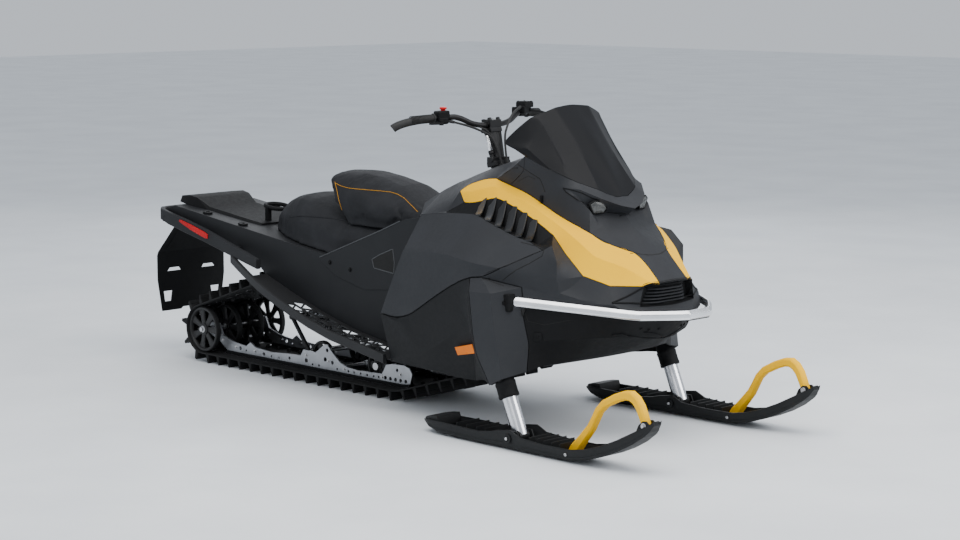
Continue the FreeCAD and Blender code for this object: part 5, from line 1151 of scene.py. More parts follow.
def spoked_wheel(radius, x, y, z, outward, spokes, hub=26, rim=13):
    """A moulded wheel with a rubber tyre: rim, spokes, hub and a bearing cap."""
    at, axis = mm((x, y, z)), (0, 1, 0)
    r = radius / 1000
    wide = 0.012
    tyre = ring_of("tyre", [
        (r - 0.005, -wide), (r - 0.001, -wide + 0.002), (r, -wide + 0.005), (r, wide - 0.005),
        (r - 0.001, wide - 0.002), (r - 0.005, wide),
    ], at, axis, 56)
    bed = r - rim / 1000
    ring = ring_of("rim", [
        (bed, -wide + 0.001), (r - 0.004, -wide + 0.001), (r - 0.004, wide - 0.001), (bed, wide - 0.001),
        (bed - 0.004, 0.004), (bed - 0.004, -0.004),
    ], at, axis, 56)
    core = barrel("hub", hub * 0.86, hub, wide * 1000, wide * 1000 - 2, (x, y, z), steps=36)
    parts = [ring, core]
    section = [(-1, -0.6), (-0.6, -1), (0.6, -1), (1, -0.6), (1, 0.6), (0.6, 1), (-0.6, 1), (-1, 0.6)]
    stations = [(hub * 0.8e-3, 0.011, 0.006), ((hub * 1e-3 + bed) / 2, 0.0125, 0.005), (bed, 0.019, 0.005)]
    for i in range(spokes):
        turn = 2 * math.pi * i / spokes
        direction = Vector((math.cos(turn), 0, math.sin(turn)))
        across = Vector((-math.sin(turn), 0, math.cos(turn)))
        rings = []
        for share, half, thick in stations:
            middle = at + direction * share
            rings.append([middle + across * (a * half) + Vector((0, b * thick, 0)) for a, b in section])
        parts.append(rings_mesh("spoke", rings, smooth=False))
    steps = [(0.015, wide - 0.001), (0.015, wide + 0.002), (0.012, wide + 0.004), (0.004, wide + 0.005)]
    cap = lathe("cap", steps, at, (0, outward, 0), 28)
    nut = bolt((x, y + outward * 15, z), (0, outward, 0), 7, False)
    return parts, [tyre], [cap] + nut


def gathered(made):
    """Several lists of parts, each joined over all the things that were made."""
    return [[part for parts in lists for part in parts] for lists in zip(*made)]


def wheel_set(name, node, places, **settings):
    made = [spoked_wheel(radius, x, y, z, 1 if y > 0 else -1, **settings) for radius, x, y, z in places]
    plastic, rubber, steel = gathered(made)
    piece(joined(name, plastic), "chassis", WHEEL, [node])
    piece(joined(name + "_tyres", rubber), "chassis", TRACK)
    piece(joined(name + "_caps", steel), "chassis", STEEL)


IDLER_Y = RAIL_Y - 14 - 12 - 1
IDLER_PLACES = [(x, side) for x in (-545, -200) for side in (-1, 1)]
idlers = [(IDLER, x, side * IDLER_Y, SLIDER_LOW + IDLER) for x, side in IDLER_PLACES]
carriers = [(IDLER, CARRIER_X, side * IDLER_Y, CARRIER_Z) for side in (-1, 1)]
rears = [(REAR_WHEEL, REAR_AXLE_X, y, REAR_AXLE_Z) for y in (-182, -62, 62, 182)]
drives = [(DRIVE_WHEEL, DRIVE_AXLE_X, y, DRIVE_AXLE_Z) for y in (-150, -60, 60, 150)]
wheel_set("rear_wheels", "rear_axle_wheels", rears, spokes=7)
wheel_set("idlers", "idler_wheels", idlers + carriers, spokes=6, hub=20, rim=10)
wheel_set("drive_wheels", "drive_axle", drives, spokes=6)
axles = [
    barrel("axle", 9.8, 10, 205, 203, (REAR_AXLE_X, 0, REAR_AXLE_Z)),
    barrel("axle", 11.8, 12, 217, 215, (DRIVE_AXLE_X, 0, DRIVE_AXLE_Z)),
    barrel("axle", 11.8, 12, 217, 215, (CARRIER_X, 0, CARRIER_Z)),
]
for x, side in IDLER_PLACES:
    axles.append(lathe("stub", [(0.015, 0), (0.016, 0.001), (0.016, 0.010), (0.014, 0.012)],
                       mm((x, side * (RAIL_Y - 4), SLIDER_LOW + IDLER)), (0, -side, 0), 24))
piece(joined("axles", axles), "chassis", STEEL)


# Rails' wear strips, shocks, suspension fittings

STRIP_REAR_X = -1152


def wear_strip(y):
    """A slide strip under a rail, from the rear end up the front ramp."""
    low, top = SLIDER_LOW - 0.05, SLIDER_LOW + 12.4
    outline = [(STRIP_REAR_X, low), (RAMP_X, low)]
    for level, turns in ((low, (4, 8, 12)), (top, (12, 8, 4, 0))):
        radius = RAMP_RADIUS + BELT_MIDDLE - level
        for turn in turns:
            a = math.radians(turn)
            outline.append((RAMP_X + radius * math.sin(a), level + radius * (1 - math.cos(a))))
    outline.append((STRIP_REAR_X, top))
    return slab("wear_strip", outline, y - 14.4, y + 14.4, 0.001)


piece(joined("wear_strips", [wear_strip(-RAIL_Y), wear_strip(RAIL_Y)]), "chassis", BLACK)

RAIL_BOLTS = [
    (-150, 74), (-380, 76), (-480, 96), (-620, 104), (-960, 80), (-1090, 80), (-1180, 100), (-40, 96),
]
fittings = []
for x, z in RAIL_BOLTS:
    for side in (-1, 1):
        fittings += bolt((x, side * (RAIL_Y + 4), z), (0, side, 0), 5.5)
        fittings += bolt((x, side * (RAIL_Y - 4), z), (0, -side, 0), 5.5)
piece(joined("rail_bolts", fittings), "chassis", STEEL)

COIL_TURNS, COIL_RADIUS = 8, 0.0255


def coil_shock(name, foot, head):
    """A damper with its spring: body, seats and eyes, then the rod, then the coil."""
    foot, head = mm(foot), mm(head)
    run = head - foot
    length, direction = run.length, run.normalized()
    body = lathe(name + "_body", [
        (0.014, length * 0.14), (0.017, length * 0.15), (0.017, length * 0.74), (0.015, length * 0.76),
    ], foot, direction, 32)
    rod = lathe(name + "_rod", [(0.006, length * 0.7), (0.006, length * 0.98)], foot, direction, 20)
    seats = []
    for share in (0.13, 0.83):
        seats.append(lathe(name + "_seat", [
            (0.020, length * share - 0.004), (0.030, length * share - 0.003), (0.031, length * share),
            (0.031, length * share + 0.005), (0.028, length * share + 0.006),
        ], foot, direction, 36))
    seats += [barrel(name + "_eye", 13, 15, 17, 15, end * 1000, steps=28) for end in (foot, head)]
    matrix = turned(direction, foot)
    start, rise = length * 0.13 + 0.012, length * 0.70 - 0.018
    line = []
    for i in range(COIL_TURNS * 8 + 1):
        angle, height = 2 * math.pi * i / 8, start + rise * i / (COIL_TURNS * 8)
        place = Vector((COIL_RADIUS * math.cos(angle), COIL_RADIUS * math.sin(angle), height))
        line.append(matrix @ place * 1000)
    coil = tube(name + "_coil", line, 4.6, 3, 4)
    return [body] + seats, [rod], [coil]


ARM_SHAFT_Z, FRONT_ARM_X = 262, 170
FRONT_FOOT, REAR_FOOT = (-385, 0, 80), (-475, 0, 142)
FRONT_HEAD = ((FRONT_ARM_X - 60) / 2, 0, (ARM_SHAFT_Z + 108) / 2)
bodies, rods, coils = gathered([
    coil_shock("front_shock", FRONT_FOOT, FRONT_HEAD), coil_shock("rear_shock", REAR_FOOT, (-740, 0, 250)),
])
shafts = [barrel("shock_shaft", 9.8, 10, 126, 125, at) for at in (FRONT_FOOT, REAR_FOOT)]
piece(joined("shock_bodies", bodies), "chassis", RAIL, ["shock_absorbers"])
piece(joined("shock_rods", rods + shafts), "chassis", STEEL)
piece(joined("shock_coils", coils), "chassis", TUBE)


# Frame nodes with rounded edges


def refined(node, body, material, width):
    """The node's own shape with its flats joined and its edges rounded."""
    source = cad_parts[node]
    bm = bmesh.new()
    bm.from_mesh(source.data)
    bm.transform(source.matrix_world)
    bmesh.ops.remove_doubles(bm, verts=bm.verts, dist=0.00002)
    bmesh.ops.dissolve_limit(bm, angle_limit=math.radians(0.6), verts=bm.verts, edges=bm.edges)
    made = bm_object(node + "_shown", bm)
    for polygon in made.data.polygons:
        polygon.material_index = 0
    sharp_by_angle(made, 26)
    if width:
        soften(made, width, 2, 28)
        made.modifiers[-1].use_clamp_overlap = True
    piece(made, body, material, [node])


# Node, body, material, and the width of its rounded edges in metres
REFINED = [
    ("tunnel", "chassis", SHEET, 0.0015), ("running_boards", "chassis", BOARD, 0.0008),
    ("rear_bumper", "chassis", SHEET, 0.003), ("tail_cover", "chassis", BLACK, 0.004),
    ("cargo_anchors", "chassis", BLACK, 0.0012), ("snow_flap", "chassis", BLACK, 0.0012),
    ("seat_brackets", "chassis", SHEET, 0.001), ("slide_rails", "chassis", RAIL, 0.0006),
    ("suspension_arms", "chassis", TUBE, 0.0), ("steering_bearing", "chassis", TUBE, 0.001),
    ("front_frame", "chassis", TUBE, 0.001), ("strut_tubes", "chassis", TUBE, 0.0012),
    ("tail_reflectors", "chassis", RED, 0.001), ("side_markers", "chassis", ORANGE, 0.0012),
    ("ski_right", "ski_right", SKI_BLACK, 0.0012), ("ski_left", "ski_left", SKI_BLACK, 0.0012),
    ("ski_loop_right", "ski_right", AMBER, 0.0025), ("ski_loop_left", "ski_left", AMBER, 0.0025),
    ("ski_leg_right", "leg_right", LEG, 0.0012), ("ski_leg_left", "leg_left", LEG, 0.0012),
    ("steering_post", "steering", TUBE, 0.0012),
]
for refined_node in REFINED:
    refined(*refined_node)

# Beads in a lighter grey as a painted highlight along the edges, a pressed window and hollow as near-black
# plates of painted shade, and bolts on the face of the seat brackets
BRACKET_FACE_Y = -225.2
WINDOW = [(-104, 566), (-62, 588), (18, 619), (27, 566), (22, 522), (-92, 533)]
HOLLOW = [(92, 648), (138, 684), (123, 634), (90, 622)]
UPPER_EDGE = [(-424, 545), (-386, 559), (-54, 686), (60, 733)]
beads = []
for outline, radius in ((UPPER_EDGE, 2.2), (WINDOW + WINDOW[:1], 2.4)):
    beads.append(tube("bead", [(x, BRACKET_FACE_Y, z) for x, z in outline], radius, 2, 4))
paired("side_beads", beads, "chassis", PAINTED_EDGE_HIGHLIGHT)
plates = [slab("bracket_window", WINDOW, -226.6, BRACKET_FACE_Y, 0)]
plates.append(slab("bracket_hollow", HOLLOW, -226.8, BRACKET_FACE_Y, 0))
paired("bracket_shade_plates", plates, "chassis", DARK_JOINT_AND_SHADE)
bracket_bolts = []
for x, z in ((-358, 530), (-235, 512), (150, 700)):
    bracket_bolts += bolt((x, -226, z), (0, -1, 0), 6.5)
paired("bracket_bolts", bracket_bolts, "chassis", BLACK)

# Near-black knee plates close the space between the seat brackets and the body's rear edge; their colour is
# painted shade.
KNEE = [(150, 560), (150, 700), (218, 775), (345, 775), (345, 560)]
paired("knee_shade_plates", [slab("knee_plate", KNEE, -217, -213, 0.001)], "chassis", DARK_JOINT_AND_SHADE)


# Steering

STEER_FOOT, STEER_RAKE = (380, 0, 965), math.radians(15)
STEER_UP = Vector((-math.sin(STEER_RAKE), 0, math.cos(STEER_RAKE)))
STEER_AHEAD = Vector((math.cos(STEER_RAKE), 0, math.sin(STEER_RAKE)))


def on_steering(rise, forward=0, left=0):
    """A point in millimetres up the steering axis, ahead and to the left of it."""
    return Vector(STEER_FOOT) + STEER_UP * rise + STEER_AHEAD * forward + Vector((0, left, 0))


def steer_slab(name, outline, low, high, bevel, across="left"):
    """A plate on the steering from (forward, rise) places across it, or (left, rise) places along it."""
    if across == "left":
        rings = [[mm(on_steering(rise, ahead, left)) for ahead, rise in outline] for left in (low, high)]
    else:
        rings = [[mm(on_steering(rise, ahead, left)) for left, rise in outline] for ahead in (low, high)]
    made = rings_mesh(name, rings, smooth=False)
    return soften(made, bevel / 1000, 2, 30)


BAR_RISE = 152
BAR_HALF = [(340.7, 85, 1111.8), (322, 160, 1150), (300, 195, 1150), (245, 385, 1140), (222, 412, 1112)]
bar_line = [(x, -y, z) for x, y, z in reversed(BAR_HALF)] + BAR_HALF
piece(tube("handlebar_tube", bar_line, 11, sides=8), "steering", TUBE, ["handlebar"])


def column():
    """The boxed steering column with an oval window, and its foot and head plates."""
    outline = [(-27, -6), (27, -6), (24, 30), (19, 70), (24, 128), (-24, 128), (-19, 70), (-24, 30)]
    body = steer_slab("column", outline, -15, 15, 3, "forward")
    window = [(7.5 * math.cos(a), 66 + 15 * math.sin(a)) for a in (math.pi * i / 10 for i in range(20))]
    cutter = steer_slab("column_window", window, -40, 40, 0.0, "forward")
    body.modifiers.clear()
    cutter.modifiers.clear()
    modifier(body, "BOOLEAN", object=cutter, operation="DIFFERENCE", solver="EXACT")
    made = joined("column_cut", [body])
    bpy.data.objects.remove(cutter)
    soften(made, 0.002, 2, 30)
    head = [(-21, 122), (21, 122), (23, 136), (19, 141), (-19, 141), (-23, 136)]
    foot = [(-22, -10), (22, -10), (22, 8), (12, 16), (-12, 16), (-22, 8)]
    return [made, steer_slab("column_head", head, -31, 31, 2), steer_slab("column_foot", foot, -44, 44, 2)]


def riser(side):
    """One upright with the cap that holds the bar, its two bolts and their knobs."""
    parts = []
    left = side * 23
    cheek = [(-14, 30), (10, 30), (17, 118), (20, 136), (20, 151), (-20, 151), (-20, 136), (-18, 112)]
    parts.append(steer_slab("riser", cheek, left - 7, left + 7, 2))
    cap = [(-22, 153)]
    for i in range(9):
        a = math.pi * (1 - i / 8)
        cap.append((17.5 * math.cos(a), 153 + 17 * math.sin(a)))
    cap.append((22, 153))
    parts.append(steer_slab("riser_cap", cap, left - 9, left + 9, 1.5))
    for forward in (-17, 17):
        profile = [(0.0052, 0), (0.0052, 0.020), (0.0082, 0.021), (0.0082, 0.029), (0.006, 0.032)]
        parts.append(lathe("cap_bolt", profile, mm(on_steering(147, forward, left)), STEER_UP, 20))
    return parts


dark_bits = column() + riser(-1) + riser(1)
link_low, link_high = on_steering(16, 8, -36), on_steering(136, -4, -36)
run = (link_high - link_low).normalized()


def on_link(name, profile, steps=24):
    """A turned part of the link beside the column."""
    return lathe(name, profile, mm(link_low), run, steps)


dark_bits.append(on_link("link_rod", [(0.0052, 0), (0.0052, 0.121)], 20))
dark_bits += [barrel("link_eye", 9, 11, 11, 9, at) for at in (link_low, link_high)]
dark_bits.append(on_link("link_collar", [(0.009, 0.022), (0.0105, 0.024), (0.0105, 0.034), (0.009, 0.036)]))
barrel_part = on_link("link_barrel", [(0.0078, 0.036), (0.0088, 0.038), (0.0088, 0.094), (0.0078, 0.096)])
for forward, left in ((-14, -34), (14, -34), (-14, 34), (14, 34)):
    dark_bits += bolt(on_steering(-2, forward, left), STEER_UP, 5)
piece(joined("steering_column", dark_bits), "steering", TUBE)
piece(joined("steering_link", [barrel_part]), "steering", SILVER)
knurl = [(0.0112, -0.04), (0.0122, -0.038), (0.0122, 0.038), (0.0112, 0.04)]
piece(ring_of("bar_knurl", knurl, mm(on_steering(BAR_RISE)), (0, 1, 0), 32), "steering", BLACK)

GRIP_LINE = [(282, 255, 1146.8), (245, 385, 1140), (222, 412, 1112)]


def hand_grip():
    """A rubber grip bent down at its end, ribbed under the hand, with a flange."""
    parts = [tube("grip", GRIP_LINE, 15.6, sides=10)]
    start, end = Vector(GRIP_LINE[0]), Vector(GRIP_LINE[1])
    run = (end - start).normalized()
    rib = [(0.0145, -0.0012), (0.0168, -0.0009), (0.0168, 0.0009), (0.0145, 0.0012)]
    parts += [ring_of("grip_rib", rib, mm(start + run * (8 + i * 5.2)), run, 32) for i in range(18)]
    flange = [(0.0185, -0.001), (0.0195, 0.0), (0.0195, 0.003), (0.0168, 0.005)]
    parts.append(lathe("grip_flange", flange, mm(start), run, 36))
    return parts


paired("grips", hand_grip(), "steering", GRIP, ["hand_grips"])

LEFT_RUN = (Vector(BAR_HALF[2]) - Vector(BAR_HALF[3])).normalized()
RIGHT_RUN = Vector((LEFT_RUN.x, -LEFT_RUN.y, LEFT_RUN.z))
PADDLE = [(306, -238), (330, -246), (336, -262), (322, -300), (310, -306), (300, -292), (304, -262)]
pivot = [(0.008, 0), (0.0085, 0.001), (0.0085, 0.016), (0.007, 0.018)]
throttle = [
    box("throttle_top", (292, -221, 1158), (46, 34, 50), 0.006, RIGHT_RUN, 4),
    box("throttle_belly", (296, -224, 1138), (40, 28, 44), 0.008, RIGHT_RUN, 4),
    slab("throttle_paddle", PADDLE, 1126, 1133, 0.0025, "Z", 3),
    lathe("throttle_pivot", pivot, mm((316, -246, 1122)), UP, 24),
    lathe("switch_seat", [(0.0165, 0), (0.0165, 0.006), (0.0145, 0.009)], mm((290, -212, 1166)), UP, 32),
]
brake = [
    box("brake_clamp", (296, 197, 1153), (44, 36, 42), 0.005, LEFT_RUN, 4),
    box("brake_pump", (322, 204, 1162), (30, 30, 58), 0.005, LEFT_RUN, 4),
    box("brake_reservoir", (318, 208, 1181), (52, 50, 20), 0.004, UP, 3),
    box("brake_cover", (318, 208, 1192), (48, 46, 5), 0.0018, UP, 2),
    tube("brake_lever", [(330, 222, 1160), (338, 262, 1154), (322, 320, 1142), (304, 378, 1130)], 6.4),
    barrel("lever_ball", 4, 8.8, 9, 4, (303, 381, 1129)),
]
for x, y in ((300, 191), (336, 191), (300, 225), (336, 225)):
    brake += button((x, y, 1194), UP, 3.4, 2.2)
throttle += bolt((270, -212, 1158), (-1, 0, 0), 3.6, False) + bolt((268, 200, 1155), (-1, 0, 0), 3.6, False)
piece(joined("bar_controls", throttle + brake), "steering", BLACK, ["control_blocks"])

cap = [(0.0085, 0.0), (0.0085, 0.007), (0.0135, 0.009), (0.0140, 0.013), (0.0128, 0.0165), (0.004, 0.018)]
piece(lathe("stop_button", cap, mm((290, -212, 1172)), UP, 36), "steering", RED, ["stop_switch"])

HOSE_END = -24
BRAKE_ROUTE = [
    (330, 168, 1172), (350, 112, 1160), (376, 56, 1120),
    on_steering(90, 30, 20), on_steering(HOSE_END, 30, 14),
]
THROTTLE_ROUTE = [
    (306, -192, 1134), (336, -140, 1120), (352, -80, 1098),
    on_steering(95, 30, -20), on_steering(HOSE_END, 30, -14),
]
WIRE_ROUTE = [
    (288, -190, 1150), (316, -150, 1136), (334, -90, 1118),
    on_steering(118, 22, -22), on_steering(40, 22, -8),
]
hoses = [tube("hose", route, 4.2) for route in (BRAKE_ROUTE, THROTTLE_ROUTE)]
hoses.append(tube("switch_wire", WIRE_ROUTE, 3.0))
for route in (BRAKE_ROUTE, THROTTLE_ROUTE):
    start, after = Vector(route[0]), Vector(route[1])
    sleeve = [(0.0062, -0.004), (0.0062, 0.012), (0.0048, 0.020)]
    hoses.append(lathe("hose_boot", sleeve, mm(start), (after - start).normalized(), 24))
piece(joined("cables", hoses), "steering", GRIP, ["control_cables"])

# The rubber boot round the column's foot: heights below the axis point, and radii
FOLDS = [(-60, 46), (-52, 47), (-44, 41), (-38, 43), (-30, 37), (-24, 39), (-16, 32), (-10, 33), (-6, 28)]
folds = [(radius / 1000, (rise - FOLDS[0][0]) / 1000) for rise, radius in FOLDS]
piece(lathe("column_boot", folds, mm(on_steering(FOLDS[0][0])), STEER_UP, 40), "steering", GRIP)


# Skis, legs and strut collars

SKI_Y, AXLE = 450, (934, 45)
STRUT_TILT = math.radians(23)
STRUT_DIRECTION = Vector((-math.sin(STRUT_TILT), 0, math.cos(STRUT_TILT)))


def on_strut(height, side):
    return Vector((AXLE[0] - math.tan(STRUT_TILT) * (height - AXLE[1]), side * SKI_Y, height))


SKI_EDGE = [
    # x, underside, half width at the foot and the top, top of the side wall
    (505, 24, 50, 56, 50), (560, 12, 58, 66, 52), (667, 8, 60, 70, 52), (790, 8, 60, 72, 50),
    (850, 8, 60, 72, 58), (888, 8, 60, 72, 68), (950, 8, 60, 72, 76), (995, 8, 60, 72, 56),
    (1110, 8, 60, 72, 49), (1242, 11, 60, 72, 50), (1300, 21, 58, 70, 60), (1372, 44, 54, 64, 82),
    (1440, 73, 48, 57, 112), (1500, 106, 41, 49, 144), (1550, 142, 31, 37, 172),
]
# The rolled lip's section, outward and up from the wall's top edge, and the skirt's place on the wall
LIP_SECTION = [(-6.2, -2), (-6.6, 1.2), (-3, 2.6), (0.8, 1.4), (1.6, -2), (0.4, -6)]
SKIRT_SHARES = (0.10, 0.34)
AXLE_BOSS = [
    (0.017, -0.006), (0.018, -0.004), (0.018, 0.0), (0.015, 0.0015), (0.010, 0.0015), (0.009, -0.001),
]
TIP_EAR = [
    (1498, 150), (1508, 172), (1526, 188), (1544, 190), (1556, 180), (1560, 166), (1540, 150), (1516, 140),
]
# The nose of the tip: x, half width, underside and top
TIP_NOSE = [
    (1512, 38, 116, 146), (1540, 34, 134, 166), (1562, 27, 154, 184),
    (1573, 18, 172, 193), (1577, 9, 180, 192),
]


def ski_trim(side):
    """Rolled lips, the sole's bevelled runner, saddle blocks and bolts of one ski."""
    parts, steel, ski_y = [], [], side * SKI_Y
    for hand in (-1, 1):
        rings = []
        for x, _, _, half, top in SKI_EDGE:
            y = ski_y + hand * half
            rings.append([mm((x, y + hand * out, top + rise)) for out, rise in LIP_SECTION])
        lip = rings_mesh("ski_lip", rings)
        sharp_by_angle(lip, 50)
        parts.append(lip)
        rings = []
        out = Vector((0, hand * 1.8, 0))
        for x, low, foot, half, top in SKI_EDGE:
            a, b = [
                Vector((x, ski_y + hand * (foot + (half - foot) * share + 0.2), low + (top - low) * share))
                for share in SKIRT_SHARES
            ]
            line = [a - out, a + out * 0.6, (a + b) / 2 + out * 0.9, b + out * 0.4, b - out]
            rings.append([mm(point) for point in line])
        skirt = rings_mesh("ski_skirt", rings, smooth=False)
        parts.append(soften(skirt, 0.0006, 1, 30))
    for hand in (-1, 1):
        hub = (AXLE[0], ski_y + hand * 72, AXLE[1])
        parts.append(lathe("axle_boss", AXLE_BOSS, mm(hub), (0, hand, 0), 32))
        steel += bolt(hub, (0, hand, 0), 6.5, False)
        steel += button((1216, ski_y + hand * 67.5, 31), (0, hand, -0.25), 6.5, 3.5)
        parts.append(slab("tip_ear", TIP_EAR, ski_y + hand * 14.5, ski_y + hand * 19.5, 0.0015))
        steel += bolt((1531, ski_y + hand * 19.5, 171), (0, hand, 0), 7.5)
    for x in (664, 716, 768, 812, 1030, 1066, 1104, 1142, 1180):
        parts.append(box("rib_fin", (x, ski_y, 38), (4, 118, 48), 0.001))
    rings = []
    for x, half, low, top in TIP_NOSE:
        bevel = min(5, half * 0.3)
        outline = [(-half, low), (half, low), (half, top - bevel), (half - bevel, top), (bevel - half, top),
                   (-half, top - bevel)]
        rings.append([mm((x, ski_y + a, b)) for a, b in outline])
    parts.append(soften(rings_mesh("tip_nose", rings, smooth=False), 0.0015, 2, 20))
    parts.append(box("saddle_pad", (985, ski_y, 26), (34, 58, 22), 0.004))
    return parts, steel


def leg_parts(side):
    """The polished leg, the collar at the strut's end and the black foot."""
    start = on_strut(AXLE[1], side)
    length = (on_strut(250, side) - start).length / 1000
    leg = lathe("leg_tube", [(0.0282, 0.032), (0.0282, length)], mm(start), STRUT_DIRECTION, 56)
    flat = (on_strut(178, side) - start).length / 1000
    collar = lathe("leg_collar", [
        (0.0335, flat - 0.0015), (0.0378, flat), (0.0385, flat + 0.005), (0.0385, flat + 0.011),
        (0.0374, flat + 0.013), (0.0374, flat + 0.046), (0.0384, flat + 0.048), (0.0384, flat + 0.056),
        (0.0360, flat + 0.060), (0.0350, flat + 0.085),
    ], mm(start), STRUT_DIRECTION, 48)
    eye = [
        (0.0150, -0.0245), (0.0232, -0.0245), (0.0238, -0.0225),
        (0.0238, 0.0225), (0.0232, 0.0245), (0.0150, 0.0245),
    ]
    return leg, collar, lathe("leg_foot", eye, mm(start), (0, 1, 0), 48)


collars = []
for side, word in ((-1, "right"), (1, "left")):
    parts, steel = ski_trim(side)
    piece(joined("ski_trim_" + word, parts), "ski_" + word, SKI_BLACK)
    piece(joined("ski_bolts_" + word, steel), "ski_" + word, STEEL)
    leg, collar, foot = leg_parts(side)
    piece(leg, "leg_" + word, LEG)
    piece(foot, "leg_" + word, TUBE)
    collars.append(collar)
piece(joined("strut_collars", collars), "chassis", BLACK)


# Seats

TUNNEL_HEIGHT, TUNNEL_SLOPE = 508, 0.126
SEAT_HEIGHT, SEAT_RISE_X, SEAT_RISE = 685, -60, 0.42
CROWN = 9


def tunnel_top(x):
    return TUNNEL_HEIGHT - TUNNEL_SLOPE * x


def seat_line(x):
    """The height of the top of the passenger seat under the rider."""
    return SEAT_HEIGHT + max(0, x - SEAT_RISE_X) * SEAT_RISE


def crowned(low_y, low_z, mid_y, mid_z, top_y, top_z):
    """Half a seat section as (y, z) from the base round to the middle, with soft shoulders."""
    return [
        (low_y, low_z), (low_y * 0.5 + mid_y * 0.5 + 3, low_z * 0.62 + mid_z * 0.38), (mid_y + 3, mid_z),
        (mid_y * 0.45 + top_y * 0.55 + 2, mid_z * 0.4 + top_z * 0.6 - 4),
        (top_y, top_z - 12), (top_y * 0.8, top_z - 1),
        (top_y * 0.55, top_z + CROWN * 0.5), (0, top_z + CROWN),
    ]


def seat_shell(name, stations):
    """A closed cushion through sections that lean from a low station to a high one."""
    rings = []
    for low_x, low_y, low_z, mid_y, top_x, top_y, top_z in stations:
        ring = []
        for y, z in crowned(low_y, low_z, mid_y, (low_z + top_z) / 2, top_y, top_z):
            share = (z - low_z) / (top_z + CROWN - low_z)
            ring.append(mm((low_x + (top_x - low_x) * share, y, z)))
        mirrored = [Vector((point.x, -point.y, point.z)) for point in reversed(ring[:-1])]
        rings.append(ring + mirrored)
    return rings_mesh(name, rings)


CLOTH_FRAMES = 16
CLOTH_STILL = 0.02  # metres above the base over which the swelling sets in


def quilted(source, name, cap, voxel, base_line):
    """The cushion swollen as filled cloth, each point kept within a cap of where it started."""
    start = joined(name, [source])
    modifier(start, "REMESH", mode="VOXEL", voxel_size=voxel, adaptivity=0.0, use_smooth_shade=True)
    start = joined(name, [start])
    before = [vert.co.copy() for vert in start.data.vertices]
    cloth = modifier(start, "CLOTH")
    cloth.settings.use_pressure = True
    cloth.settings.uniform_pressure_force = 4.0
    cloth.settings.effector_weights.gravity = 0
    cloth.settings.quality = 4
    cloth.settings.tension_stiffness = 30
    cloth.settings.compression_stiffness = 30
    cloth.settings.bending_stiffness = 2
    cloth.collision_settings.use_collision = False
    cloth.point_cache.frame_start, cloth.point_cache.frame_end = 1, CLOTH_FRAMES
    scene = bpy.context.scene
    for step in range(1, CLOTH_FRAMES + 1):
        scene.frame_set(step)
    shown = start.evaluated_get(bpy.context.evaluated_depsgraph_get())
    after = [vert.co.copy() for vert in shown.data.vertices]
    start.modifiers.clear()
    scene.frame_set(1)
    for vert, was, now in zip(start.data.vertices, before, after):
        swell = now - was
        if swell.length > cap:
            swell *= cap / swell.length
        if was.z < base_line(was.x) + CLOTH_STILL:
            swell *= max(0.0, (was.z - base_line(was.x)) / CLOTH_STILL)
        vert.co = was + swell
    all_smooth(start.data)
    return start


# Sections of the seats: low x, low y, middle y, top x, top y and top z
REAR_STATIONS = []
for low_x, low_y, mid_y, top_x, top_y, top_z in (
    (-880, 60, 57, -868, 42, 672), (-852, 95, 90, -830, 67, 711), (-806, 122, 116, -774, 89, 741),
    (-741, 156, 148, -704, 115, 763), (-660, 184, 174, -640, 133, 773), (-570, 198, 186, -570, 143, 764),
    (-480, 200, 182, -480, 143, 734), (-350, 196, 178, -350, 147, 684), (-200, 196, 178, -200, 147, 684),
    (-60, 196, 178, -60, 147, 684), (20, 196, 178, 20, 147, 716), (95, 194, 176, 95, 146, 748),
):
    REAR_STATIONS.append((low_x, low_y, tunnel_top(low_x) + 1.5, mid_y, top_x, top_y, top_z - 6))
FRONT_STATIONS = []
for low_x, low_y, mid_y, top_x, top_y, top_z in (
    (-342, 137, 146, -514, 106, 858), (-330, 142, 150, -500, 112, 870), (-298, 147, 152, -467, 116, 877),
    (-200, 150, 153, -350, 115, 877), (-100, 150, 151, -220, 109, 861), (-20, 148, 147, -105, 103, 836),
    (50, 146, 143, -20, 97, 798), (95, 142, 137, 60, 95, 763),
):
    FRONT_STATIONS.append((low_x, low_y, seat_line(low_x) - 4, mid_y, top_x, top_y, top_z - 3))


def upper_line(x):
    return (seat_line(x * 1000) - 4) / 1000


def lower_line(x):
    return (tunnel_top(x * 1000) + 1.5) / 1000


front_shell = seat_shell("front_cushion", FRONT_STATIONS)
rear_shell = seat_shell("rear_cushion", REAR_STATIONS)
front_cushion = quilted(front_shell, "front_cushion", 0.010, 0.0065, upper_line)
rear_cushion = quilted(rear_shell, "rear_cushion", 0.008, 0.0075, lower_line)
for cushion, node in ((front_cushion, "front_seat"), (rear_cushion, "rear_seat")):
    piece(cushion, "chassis", SEAT, [node])
    modifier(cushion, "SUBSURF", levels=1, render_levels=1)
FRONT_TREE, REAR_TREE = mesh_tree(front_cushion.data), mesh_tree(rear_cushion.data)


def cover_lines(name, tree, lines, radius):
    """Round beads on a cushion along lines drawn over the photograph."""
    beads = []
    for line in lines:
        points = [(place + normal * 0.0008) * 1000 for place, normal in seen_line(tree, line, 2.5)]
        beads.append(tube(name, points, radius, sides=4))
    return beads


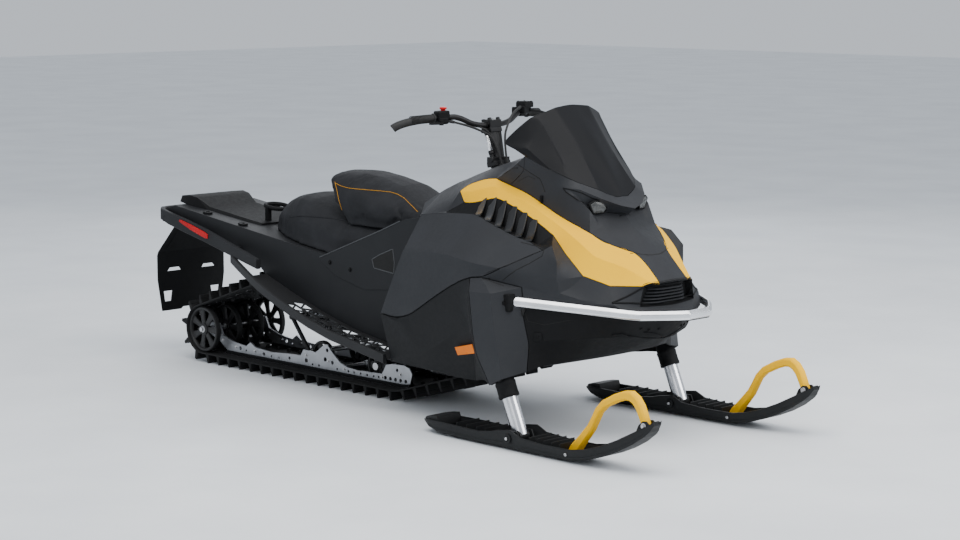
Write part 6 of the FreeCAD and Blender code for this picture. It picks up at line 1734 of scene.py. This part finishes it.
PIPING_LINES = [
    [(335, 183), (341, 186), (348, 188), (356, 189), (368, 190), (380, 191), (390, 192), (397, 194),
     (404, 198), (411, 205), (418, 212)],
    [(335, 182), (337, 190), (339, 200), (342, 210), (345, 219), (347, 224)],
]
SEAT_SEAMS = [[(290, 217), (300, 216), (318, 217), (336, 219), (346, 221)]]
paired("seat_piping", cover_lines("piping", FRONT_TREE, PIPING_LINES, 1.1), "chassis", PIPING)
paired("seat_seams", cover_lines("seat_seam", REAR_TREE, SEAT_SEAMS, 1.6), "chassis", SEAT)


# Floor, light and camera

FLOOR_HALF = 30


def studio():
    corners = [(-FLOOR_HALF, -FLOOR_HALF, 0), (FLOOR_HALF, -FLOOR_HALF, 0), (FLOOR_HALF, FLOOR_HALF, 0),
               (-FLOOR_HALF, FLOOR_HALF, 0)]
    floor = mesh_object("floor", corners, [(0, 1, 2, 3)], False)
    made = Shader("pale_floor")
    colour = made.colours(made.noise(1.5, detail=6), (0.78, 0.81, 0.84), (0.85, 0.88, 0.905))
    dress(floor, made.finish(colour, made.spread(made.noise(30), 0.75, 0.9)))

    world = bpy.data.worlds.new("studio")
    bpy.context.scene.world = world
    world.use_nodes = True
    world.node_tree.nodes["Background"].inputs["Color"].default_value = (0.80, 0.85, 0.92, 1)
    world.node_tree.nodes["Background"].inputs["Strength"].default_value = 0.8

    def area(name, at, towards, size, power, colour=(1, 1, 1)):
        data = bpy.data.lights.new(name, "AREA")
        data.shape = "RECTANGLE"
        data.size, data.size_y = size
        data.energy = power
        data.color = colour
        lamp = link(bpy.data.objects.new(name, data))
        lamp.location = at
        lamp.rotation_mode = "QUATERNION"
        lamp.rotation_quaternion = (Vector(towards) - Vector(at)).to_track_quat("-Z", "Y")

    area("key", (1.5, -1.0, 5.0), (0.3, 0, 0.5), (6, 4), 270, (1.0, 0.985, 0.965))
    area("side", (3.0, -6.0, 3.0), (0.2, 0, 0.5), (5, 3), 45)
    area("back", (-4.0, 4.5, 3.5), (0, 0, 0.6), (5, 3), 80, (0.95, 0.97, 1.0))
    area("front", (6.0, 2.5, 3.6), (0.5, 0, 0.6), (4, 3), 220)


studio()

camera_data = bpy.data.cameras.new("camera")
camera_data.lens = CAMERA_LENS
camera_data.sensor_width = SENSOR_WIDTH
camera = link(bpy.data.objects.new("camera", camera_data))
camera.location = CAMERA_AT
camera.rotation_mode = "QUATERNION"
camera.rotation_quaternion = (-camera_back()).to_track_quat("-Z", "Y")
bpy.context.scene.camera = camera
